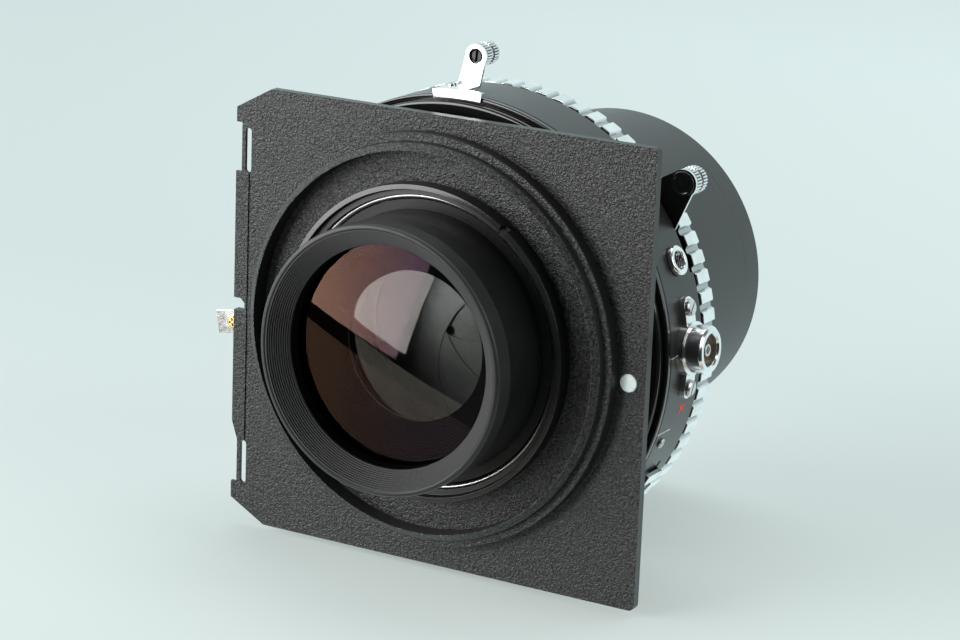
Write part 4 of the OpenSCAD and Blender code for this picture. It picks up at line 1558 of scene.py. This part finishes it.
@dataclass(frozen=True)
class KnurledKnob:
    """A small knob with two knurled bands and a groove between them."""

    r: float
    low: float
    high: float
    bore_r: float = 0.0
    bore_deep: float = 0.0
    bore_cut: float = 0.1
    end_in: float = 0.35
    end_up: float = 0.3
    groove_deep: float = 0.55
    groove_half: float = 0.42
    floor_half: float = 0.22
    side_points: int = 5
    ridges: int = 24
    ridge_points: int = 8
    knurl_deep: float = 0.32
    crest_gain: float = 1.9
    crest_drop: float = 0.2
    band_in: float = 0.3
    band_fade: float = 0.25

    def _profile(self) -> Points:
        """The outline, from the axis round the knob and back, with the bore if it has one.

        Returns:
            The outline's points.
        """
        middle = (self.low + self.high) / 2
        inner = self.r - self.groove_deep
        end_r = self.r - self.end_in
        outer = [[end_r, self.low], [self.r, self.low + self.end_up], [self.r, middle - self.groove_half],
                 [inner, middle - self.floor_half], [inner, middle + self.floor_half],
                 [self.r, middle + self.groove_half], [self.r, self.high - self.end_up], [end_r, self.high]]
        sides = [np.linspace(start, end, self.side_points, endpoint=False)
                 for start, end in zip(outer, outer[1:])]
        inside = [[0.0, self.high]]
        if self.bore_r:
            floor = self.high - self.bore_deep
            inside = [[self.bore_r + self.bore_cut, self.high], [self.bore_r, self.high - self.bore_cut],
                      [self.bore_r, floor], [0.0, floor]]
        return np.concatenate([[[0.0, self.low]], *sides, outer[-1:], inside])

    def _knurl(self, radius: Points, height: Points, angle: Points) -> tuple[Points, Points]:
        """Takes the knurl's depth off the bands, by a wave round the knob that is flat on its crests.

        Args:
            radius: Distances from the axis, in millimetres.
            height: Distances along the axis.
            angle: Angles about the axis, in radians.

        Returns:
            The changed radius and height.
        """
        ridge = wave(angle * self.ridges / FULL_TURN)
        crest = np.clip(self.crest_gain * ridge - self.crest_drop, 0, 1)
        on_band = np.clip((radius - self.r + self.band_in) / self.band_fade, 0, 1)
        return radius - self.knurl_deep * (1 - crest) * on_band, height

    def shell(self, axis: Axis) -> Shell:
        """The closed surface of the knob on its axis."""
        steps = self.ridges * self.ridge_points
        # The knurl's cut depth sets painted shade between the ridges
        return turned(self._profile(), axis, steps, whole=True, shape=self._knurl, cut_deep=self.knurl_deep)


@dataclass(frozen=True)
class CockingControl:
    """The cocking ring behind the wall, with its bent lever, knob and screws."""

    degrees: float = 91.0
    knob_at: float = 56.9
    knob_r: float = 2.45
    knob_len: float = 5.4
    bore_r: float = 1.55
    bore_deep: float = 1.0
    rim_in: float = 48.85
    rim_out: float = 49.8
    rim_front: float = -11.05
    rim_rear: float = -9.9
    flange_in: float = 46.6
    flange_front: float = -10.95
    flange_rear: float = -10.45
    ring_cuts: tuple[float, ...] = (0.05, 0.03, 0.03, 0.1, 0.45, 0.3, 0.1, 0.05)
    strip_front: float = -16.7
    lever_edge: float = 0.14
    screw_edge: float = 0.08
    bracket_screw_edge: float = 0.05
    screw_tone: Colour = (0.06, 0.061, 0.062)

    def build(self, shop: Workshop) -> None:
        """Makes the ring, the lever, the knob and the screws.

        Args:
            shop: The workshop that makes and sets the pieces.
        """
        outline = rounded([
            [self.flange_in, self.flange_front], [self.rim_in, self.flange_front],
            [self.rim_in, self.rim_front], [self.rim_out, self.rim_front], [self.rim_out, self.rim_rear],
            [self.rim_in, self.rim_rear], [self.rim_in, self.flange_rear],
            [self.flange_in, self.flange_rear]], self.ring_cuts, samples=7)
        ring = turned(outline, steps=FINE_STEPS)
        shop.install(shop.solid("cocking_ring_piece", [ring]), "cocking_ring")
        shop.eased("cocking_lever", self.lever_edge, segments=3)
        knob = KnurledKnob(self.knob_r, self.strip_front - self.knob_len, self.strip_front, self.bore_r,
                           self.bore_deep)
        shell = knob.shell(side_axis(self.degrees, self.knob_at))
        shop.install(shop.solid("cocking_knob_piece", [shell]), "cocking_knob")
        screw = shop.eased("cocking_screw", self.screw_edge)
        shop.paint(screw, BrightMetal("dull_steel", self.screw_tone, 0.3, 0.4).material())
        shop.eased("bracket_screw", self.bracket_screw_edge)


@dataclass(frozen=True)
class ReleaseControl:
    """The release lever with its bright edges, its knob and the cap on the knob's screw."""

    degrees: float = 38.6
    knob_at: float = 56.3
    knob_r: float = 2.9
    knob_len: float = 5.0
    ridges: int = 26
    plate_front: float = -24.9
    plate_rear: float = -24.2
    lever_edge: float = 0.12
    cap_rear: float = -23.65
    cap_r: float = 2.6
    recess_r: float = 2.1
    recess_slope: float = 0.2
    recess_deep: float = 0.15
    cap_cuts: tuple[float, ...] = (0.0, 0.05, 0.2, 0.12, 0.1, 0.0)

    def build(self, shop: Workshop) -> None:
        """Makes the lever, the knob and the cap.

        Args:
            shop: The workshop that makes and sets the pieces.
        """
        lever = shop.eased("release_lever", self.lever_edge, segments=3)
        shop.paint(lever, EdgedEnamel(self.plate_rear).material())
        axis = side_axis(self.degrees, self.knob_at)
        knob = KnurledKnob(self.knob_r, self.plate_front - self.knob_len, self.plate_front,
                           ridges=self.ridges)
        shop.install(shop.solid("release_knob_piece", [knob.shell(axis)]), "release_knob")
        low = self.plate_rear
        high = self.cap_rear
        floor = high - self.recess_deep
        rim = rounded([[0.0, low], [self.cap_r, low], [self.cap_r, high], [self.recess_r, high],
                       [self.recess_r - self.recess_slope, floor], [0.0, floor]], self.cap_cuts)
        cap = turned(rim, axis, SMALL_STEPS, whole=True)
        shop.install(shop.solid("release_cap_piece", [cap]), "release_cap")


@dataclass(frozen=True)
class BladeControls:
    """The aperture's arm and tab, and the press-focus tab, that pass out through the wall."""

    nodes: tuple[str, ...] = ("aperture_arm", "aperture_tab", "preview_arm", "preview_tab")
    edge: float = 0.12
    screw_edge: float = 0.06

    def build(self, shop: Workshop) -> None:
        """Makes the arms, tabs and the tab's screw.

        Args:
            shop: The workshop that makes and sets the pieces.
        """
        for node in self.nodes:
            shop.eased(node, self.edge, segments=3)
        shop.eased("aperture_screw", self.screw_edge)


@dataclass(frozen=True)
class Sockets:
    """The threaded cable socket and the flash socket on its strap."""

    wall_r: float = 49.8
    cable_degrees: float = 23.8
    cable_height: float = -19.15
    cable_r: float = 3.15
    cable_out: float = 1.25
    cable_foot: float = 0.15
    cable_steps: int = 96
    cable_cuts: tuple[float, ...] = (0.0, 0.0, 0.1, 0.55, 0.4)
    nose_r: float = 2.15
    nose_in: float = 0.7
    bore_in: float = 0.42
    bore_points: int = 26
    thread_r: float = 1.9
    thread_gap: float = 0.02
    thread_in: float = 0.3
    thread_pitch: float = 0.5
    thread_deep: float = 0.16
    sync_degrees: float = 3.2
    sync_height: float = -18.5
    sync_edge: float = 0.22
    sync_in_r: float = 3.25
    sync_out: float = 5.5
    sync_foot: float = 0.1
    disc_in: float = 1.2
    disc_gap: float = 0.02
    disc_cut: float = 0.06
    groove_r: float = 2.1
    groove_half: float = 0.25
    groove_floor_half: float = 0.1
    groove_deep: float = 0.18
    pin_r: float = 1.3
    pin_in: float = 0.75
    cup_r: float = 0.78
    cup_floor_r: float = 0.68
    cup_in: float = 1.6
    pin_cuts: tuple[float, ...] = (0.0, 0.02, 0.16, 0.1, 0.05, 0.0)
    screw_edge: float = 0.08

    def _thread(self, radius: Points, height: Points, angle: Points) -> tuple[Points, Points]:
        """Cuts a helix into the bore: a wave of the height less the turn's share of the pitch.

        Args:
            radius: Distances from the axis, in millimetres.
            height: Distances along the axis.
            angle: Angles about the axis, in radians.

        Returns:
            The changed radius and height.
        """
        share = height / self.thread_pitch - angle / FULL_TURN
        in_bore = (radius < self.thread_r + self.thread_gap) & (height < self.cable_out - self.thread_in)
        return np.where(in_bore, radius + self.thread_deep * wave(share), radius), height

    def _cable(self, axis: Axis) -> Shell:
        """The cable socket's ring, with a rounded face and a threaded bore.

        Args:
            axis: The fitting's axis.

        Returns:
            The closed surface.
        """
        outer = rounded([[self.nose_r, -self.nose_in], [self.nose_r, self.cable_foot],
                         [self.cable_r, self.cable_foot], [self.cable_r, self.cable_out],
                         [self.thread_r, self.cable_out]], self.cable_cuts, samples=7)
        depth = np.linspace(self.cable_out - self.bore_in, -self.nose_in, self.bore_points)
        bore = np.stack([np.full(len(depth), self.thread_r), depth], -1)
        return turned(np.concatenate([outer, bore]), axis, self.cable_steps, shape=self._thread)

    def _insulator(self, axis: Axis) -> Shell:
        """The disc round the contact, with a groove in its face.

        Args:
            axis: The fitting's axis.

        Returns:
            The closed surface.
        """
        inner = self.pin_r + self.disc_gap
        outer = self.sync_in_r - self.disc_gap
        top = self.sync_out - self.disc_in
        floor = top - self.groove_deep
        groove = [[self.groove_r + self.groove_half, top], [self.groove_r + self.groove_floor_half, floor],
                  [self.groove_r - self.groove_floor_half, floor], [self.groove_r - self.groove_half, top]]
        disc = rounded([[inner, self.sync_foot], [outer, self.sync_foot], [outer, top], *groove,
                        [inner, top]], self.disc_cut, samples=4)
        return turned(disc, axis, SMALL_STEPS)

    def _contact(self, axis: Axis) -> Shell:
        """The centre contact, with a cup in its end.

        Args:
            axis: The fitting's axis.

        Returns:
            The closed surface.
        """
        rim = self.sync_out - self.pin_in
        floor = self.sync_out - self.cup_in
        pin = rounded([[0.0, self.sync_foot], [self.pin_r, self.sync_foot], [self.pin_r, rim],
                       [self.cup_r, rim], [self.cup_floor_r, floor], [0.0, floor]], self.pin_cuts)
        return turned(pin, axis, SMALL_STEPS, whole=True)

    def build(self, shop: Workshop) -> None:
        """Makes the sockets, the insulator, the contact and the screws.

        Args:
            shop: The workshop that makes and sets the pieces.
        """
        cable = self._cable(wall_axis(self.cable_degrees, self.wall_r, self.cable_height))
        shop.install(shop.solid("cable_socket_piece", [cable]), "cable_socket")
        shop.eased("sync_socket", self.sync_edge, segments=3)
        axis = wall_axis(self.sync_degrees, self.wall_r, self.sync_height)
        shop.install(shop.solid("sync_insulator_piece", [self._insulator(axis)]), "sync_insulator")
        shop.install(shop.solid("sync_contact_piece", [self._contact(axis)]), "sync_contact")
        shop.eased("sync_screws", self.screw_edge, segments=3)


@dataclass(frozen=True)
class FrontCell:
    """The front barrel, the rim with its filter thread and the two front glasses."""

    cell_r: float = 29.0
    hub_r: float = 33.0
    barrel_r: float = 35.5
    rim_r: float = 35.2
    rim_edge: float = 0.4
    filter_r: float = 33.5
    mouth_cut: float = 0.2
    hub: float = -33.0
    shoulder: float = -36.0
    flare: float = -46.0
    barrel_front: float = -77.2
    reach: float = -84.0
    groove: float = 0.5
    groove_deep: float = 0.9
    spigot_wall: float = 0.95
    glass_r: float = 31.7
    glass_t: float = 5.5
    glass_rear: float = -69.7
    glass_rear_cut: float = 0.2
    glass_front_cut: float = 0.1
    glass_sink: float = 0.01
    glass_face_in: float = 1.3
    seat_in: float = 1.5
    hold_in: float = 1.2
    hold_up: float = 0.6
    throat_r: float = 18.0
    throat_land: float = 1.0
    inner_r: float = 19.5
    inner_seat: float = -29.0
    inner_t: float = 4.0
    inner_face_in: float = 0.3
    inner_hollow_in: float = 2.0
    ring_wide: float = 2.0
    thread_rear: float = -22.2
    thread_len: float = 4.5
    thread_pitch: float = 0.75
    thread_deep: float = 0.28
    thread_front_gap: float = 0.5
    thread_rear_gap: float = 0.3
    thread_points: int = 90
    ball_r: float = 110.0
    inner_ball_r: float = 62.0
    hollow_ball_r: float = 60.0
    barrel_cuts: tuple[float, ...] = (0.2, 0.2, 0.2, 0.6, 1.2, 0.15, 0.1, 0.1, 0.1, 0.1, 0.1, 0.1, 0.3, 0.3,
                                      0.2, 0.1, 0.1, 0.1, 0.1)
    rim_cuts: tuple[float, ...] = (0.1, 0.4, 0.15, 0.1, 0.1, 0.1, 0.15, 0.0)

    def _barrel(self) -> Points:
        """The barrel's outline: a straight neck, a flare, a long plain side and the joint with the rim.

        Returns:
            The outline's points.
        """
        glass_end = self.glass_rear - self.glass_t
        ring_bore = self.inner_r + self.ring_wide + CLEARANCE
        inner_bore = self.inner_r + CLEARANCE
        ring_seat = self.inner_seat + self.inner_t
        spigot = self.glass_r + self.spigot_wall
        outer_bore = self.glass_r + CLEARANCE
        joint = self.barrel_front + self.groove
        joint_r = self.barrel_r - self.groove_deep
        return rounded([
            [self.cell_r, self.thread_rear], [self.cell_r, self.hub], [self.hub_r, self.hub],
            [self.hub_r, self.shoulder], [self.barrel_r, self.flare], [self.barrel_r, joint],
            [joint_r, joint], [joint_r, self.barrel_front], [spigot, self.barrel_front], [spigot, glass_end],
            [outer_bore, glass_end], [outer_bore, self.glass_rear],
            [self.glass_r - self.seat_in, self.glass_rear],
            [self.throat_r, self.inner_seat - self.throat_land], [self.throat_r, self.inner_seat],
            [inner_bore, self.inner_seat], [inner_bore, ring_seat], [ring_bore, ring_seat],
            [ring_bore, self.thread_rear]], self.barrel_cuts, samples=5)

    def _rim(self) -> Points:
        """The rim's outline, with many points down the threaded bore.

        Returns:
            The outline's points.
        """
        hold_r = self.glass_r - self.hold_in
        glass_end = self.glass_rear - self.glass_t
        spigot = self.glass_r + self.spigot_wall - CLEARANCE
        thread_end = self.reach + self.thread_len
        outer = rounded([[self.filter_r + self.mouth_cut, self.reach], [self.rim_r, self.reach],
                         [self.rim_r, self.barrel_front], [spigot, self.barrel_front], [spigot, glass_end],
                         [hold_r, glass_end], [hold_r, thread_end + self.hold_up],
                         [self.filter_r, thread_end]], self.rim_cuts, samples=5)
        depth = np.linspace(thread_end, self.reach + self.rim_edge, self.thread_points)
        return np.concatenate([outer, np.stack([np.full(len(depth), self.filter_r), depth], -1)])

    def _thread(self, radius: Points, height: Points, angle: Points) -> tuple[Points, Points]:
        """Cuts a helix into the filter thread: a wave of the height less the turn's share of the pitch.

        Args:
            radius: Distances from the axis, in millimetres.
            height: Distances along the axis.
            angle: Angles about the axis, in radians.

        Returns:
            The changed radius and height.
        """
        share = height / self.thread_pitch - angle / FULL_TURN
        low = self.reach + self.thread_front_gap
        high = self.reach + self.thread_len - self.thread_rear_gap
        inside = (np.abs(radius - self.filter_r) < TOUCH) & (height > low) & (height < high)
        return np.where(inside, radius + self.thread_deep * wave(share), radius), height

    def _glasses(self, shop: Workshop) -> None:
        """Makes the outer glass and the inner glass.

        Args:
            shop: The workshop that makes and sets the pieces.
        """
        end = self.glass_rear - self.glass_t
        face = end + self.glass_sink
        edge = np.array([[0.0, self.glass_rear], [self.glass_r - self.glass_rear_cut, self.glass_rear],
                         [self.glass_r, self.glass_rear - self.glass_rear_cut],
                         [self.glass_r, end + self.glass_front_cut],
                         [self.glass_r - self.glass_front_cut, face]])
        dome = arc(self.ball_r, self.glass_r - self.glass_face_in, face, -1)
        outer = turned(np.concatenate([edge, dome]), whole=True)
        shop.install(shop.solid("front_glass_piece", [outer]), "front_glass")
        lens = MeniscusGlass(self.inner_r, self.inner_t, self.inner_ball_r,
                             self.throat_r - self.inner_face_in, self.hollow_ball_r,
                             self.inner_r - self.inner_hollow_in)
        inner = turned(lens.profile(self.inner_seat + self.inner_t, -1), whole=True)
        shop.install(shop.solid("front_inner_glass_piece", [inner]), "front_inner_glass")

    def build(self, shop: Workshop) -> None:
        """Makes the barrel, the rim and the glasses.

        Args:
            shop: The workshop that makes and sets the pieces.
        """
        barrel = turned(self._barrel(), steps=FINE_STEPS)
        shop.install(shop.solid("front_barrel_piece", [barrel]), "front_barrel")
        rim = turned(self._rim(), steps=FINE_STEPS, shape=self._thread)
        shop.install(shop.solid("front_rim_piece", [rim]), "front_rim")
        self._glasses(shop)


# Stage

@dataclass(frozen=True)
class SoftBox:
    """A rectangular lamp with an even face."""

    name: str
    centre: Triple
    right: Triple
    up: Triple
    width: float
    height: float
    radiance: float

    def build(self) -> None:
        """Makes the lamp; its power is its radiance times its area times pi."""
        data = bpy.data.lights.new(self.name, "AREA")
        data.shape = "RECTANGLE"
        data.size = self.width
        data.size_y = self.height
        data.energy = self.radiance * self.width * self.height * math.pi
        lamp = bpy.data.objects.new(self.name, data)
        right = Vector(self.right).normalized()
        up = (Vector(self.up) - right * right.dot(Vector(self.up))).normalized()
        back = right.cross(up)
        turn = Matrix((right, up, back)).transposed().to_4x4()
        lamp.matrix_world = Matrix.Translation(Vector(self.centre)) @ turn
        lamp.visible_camera = False
        bpy.context.scene.collection.objects.link(lamp)


@dataclass(frozen=True)
class Studio:
    """The camera, the pale floor, the world and the lamps, in metres."""

    focal_px: float = 3096.15
    image_px: float = 960.0
    sensor_mm: float = 36.0
    eye: Triple = (0.31181, -0.52991, 0.17399)
    sight: Triple = (-0.47529, 0.83875, -0.26569)
    up: Triple = (-0.16479, 0.21177, 0.96333)
    floor_z: float = -0.0502
    floor_half: float = 6.0
    floor_near: float = -0.05
    floor_far: float = 0.6
    floor_middle: float = 0.35
    floor_way: tuple[float, float] = (0.86, 0.5)
    floor_left: float = -0.15
    floor_right: float = 0.2
    left_level: float = 0.9
    right_gain: float = 0.18
    glow_share: float = 0.5
    pale: Colour = linear(217, 231, 231)
    near_tint: Colour = linear(220, 229, 224)
    middle_tint: Colour = linear(198, 209, 207)
    far_tint: Colour = linear(225, 239, 239)
    bright: Colour = (0.80, 0.97, 0.98)
    bright_from: float = -0.05
    bright_to: float = 0.3
    wall_dim: Colour = (0.03, 0.03, 0.03)
    ceiling_dim: Colour = (0.2, 0.2, 0.2)
    ceiling_from: float = 0.62
    table_edge: float = -0.161
    table_run: float = 0.3
    table_glow: Colour = (1.0, 1.0, 0.85)
    table_near: Colour = (0.45, 0.45, 0.4)
    box_corner: Triple = (-0.448, -0.768, -0.258)
    box_left: Triple = (-0.739, 0.532, 0.413)
    box_up: Triple = (0.280, -0.319, 0.906)
    box_wide: float = 1.2
    box_tall: float = 0.85
    box_radiance: float = 6.0
    top_box: SoftBox = SoftBox("top_box", (0.0, 0.3, 0.95), (1.0, 0.0, 0.0), (0.0, 1.0, 0.0), 1.1, 0.5, 2.4)
    right_box: SoftBox = SoftBox("right_box", (1.05, 0.1, 0.45), (0.15, 1.0, 0.0), (-0.4, 0.0, 1.0), 0.9, 0.7,
                                 2.5)

    def _camera(self) -> None:
        """Sets the camera at the photograph's viewing angle."""
        data = bpy.data.cameras.new("camera")
        data.sensor_width = self.sensor_mm
        data.lens = self.focal_px / self.image_px * self.sensor_mm
        data.clip_start = 0.01
        data.clip_end = 50.0
        camera = bpy.data.objects.new("camera", data)
        back = -Vector(self.sight).normalized()
        right = Vector(self.up).cross(back).normalized()
        up = back.cross(right)
        turn = Matrix((right, up, back)).transposed().to_4x4()
        camera.matrix_world = Matrix.Translation(Vector(self.eye)) @ turn
        bpy.context.scene.collection.objects.link(camera)
        bpy.context.scene.camera = camera

    def _floor(self) -> None:
        """Lays a floor that glows pale to the camera and keeps part of the object's shadow.

        The glow's tint runs from near through middle to far, and its level rises from left to right.
        """
        half = self.floor_half
        mesh = bpy.data.meshes.new("floor")
        corners = [(-half, -half, self.floor_z), (half, -half, self.floor_z), (half, half, self.floor_z),
                   (-half, half, self.floor_z)]
        mesh.from_pydata(corners, [], [(0, 1, 2, 3)])
        floor = bpy.data.objects.new("floor", mesh)
        shader = Shader("pale_floor")
        across, along, _ = shader.split(shader.place())
        depth = shader.ramp(shader.share(along, self.floor_near, self.floor_far), (0.0, self.near_tint),
                            (self.floor_middle, self.middle_tint), (1.0, self.far_tint))
        way_x, way_y = self.floor_way
        rightward = shader.share(across * way_x + along * way_y, self.floor_left, self.floor_right)
        level = rightward * self.right_gain + self.left_level
        tint = shader.node("VectorMath", {"operation": "SCALE"}, {0: depth, 3: level})
        glow = shader.node("Emission", sockets={0: tint, 1: 1.0})
        seen = shader.node("LightPath", output="Is Camera Ray")
        surface = shader.blend(seen * self.glow_share, shader.flat(self.pale), glow)
        floor.data.materials.append(shader.finish(surface))
        floor.visible_glossy = False
        floor.visible_transmission = False
        bpy.context.scene.collection.objects.link(floor)

    def _world(self) -> None:
        """Shows a pale backdrop to the camera, and to everything else a dim room above a pale table."""
        world = bpy.data.worlds.new("studio")
        bpy.context.scene.world = world
        sky = WorldShader(world)
        ray = sky.node("TexCoord", output="Generated")
        height = sky.split(ray)[2]
        ahead = sky.node("VectorMath", {"operation": "DOT_PRODUCT"}, {0: ray, 1: self.sight}, "Value")
        rise = sky.node("VectorMath", {"operation": "DOT_PRODUCT"}, {0: ray, 1: self.box_up}, "Value")
        dim = sky.ramp(height * 0.5 + 0.5, (self.ceiling_from, self.wall_dim), (1.0, self.ceiling_dim))
        table = sky.mix(sky.share(rise, self.table_edge, self.table_edge - self.table_run),
                        opaque(self.table_glow), opaque(self.table_near))
        near = sky.mix(rise < self.table_edge, dim, table)
        room = sky.mix(sky.share(ahead, self.bright_from, self.bright_to), near, opaque(self.bright))
        seen = sky.node("LightPath", output="Is Camera Ray")
        colour = sky.mix(seen, room, opaque(self.pale))
        sky.close(sky.node("Background", sockets={0: colour, 1: 1.0}), "OutputWorld")

    def _lamps(self) -> None:
        """Hangs the soft boxes: one that the rear glass mirrors, one overhead and one at the right."""
        left = np.array(self.box_left)
        up = np.array(self.box_up)
        centre = np.array(self.box_corner) + left * self.box_wide / 2 + up * self.box_tall / 2
        SoftBox("left_box", tuple(centre), tuple(-left), self.box_up, self.box_wide, self.box_tall,
                self.box_radiance).build()
        self.top_box.build()
        self.right_box.build()

    def build(self) -> None:
        """Makes the stage."""
        bpy.context.scene.view_settings.view_transform = "Standard"
        self._camera()
        self._floor()
        self._world()
        self._lamps()


def write_sizes() -> None:
    """Updates the view layer.
    """
    bpy.context.view_layer.update()


def main() -> None:
    """Builds every sub-assembly in order."""
    logging.basicConfig(level=logging.INFO, format="%(message)s")
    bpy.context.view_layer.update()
    shop = Workshop.open()
    parts = [LensBoard(), RetainingRing(), RearCell(), ShutterCase(), SpeedRing(), CockingControl(),
             ReleaseControl(), BladeControls(), Sockets(), FrontCell()]
    for part in parts:
        part.build(shop)
        log.info("built %s", type(part).__name__)
    Studio().build()
    write_sizes()


if __name__ == "__main__":
    main()
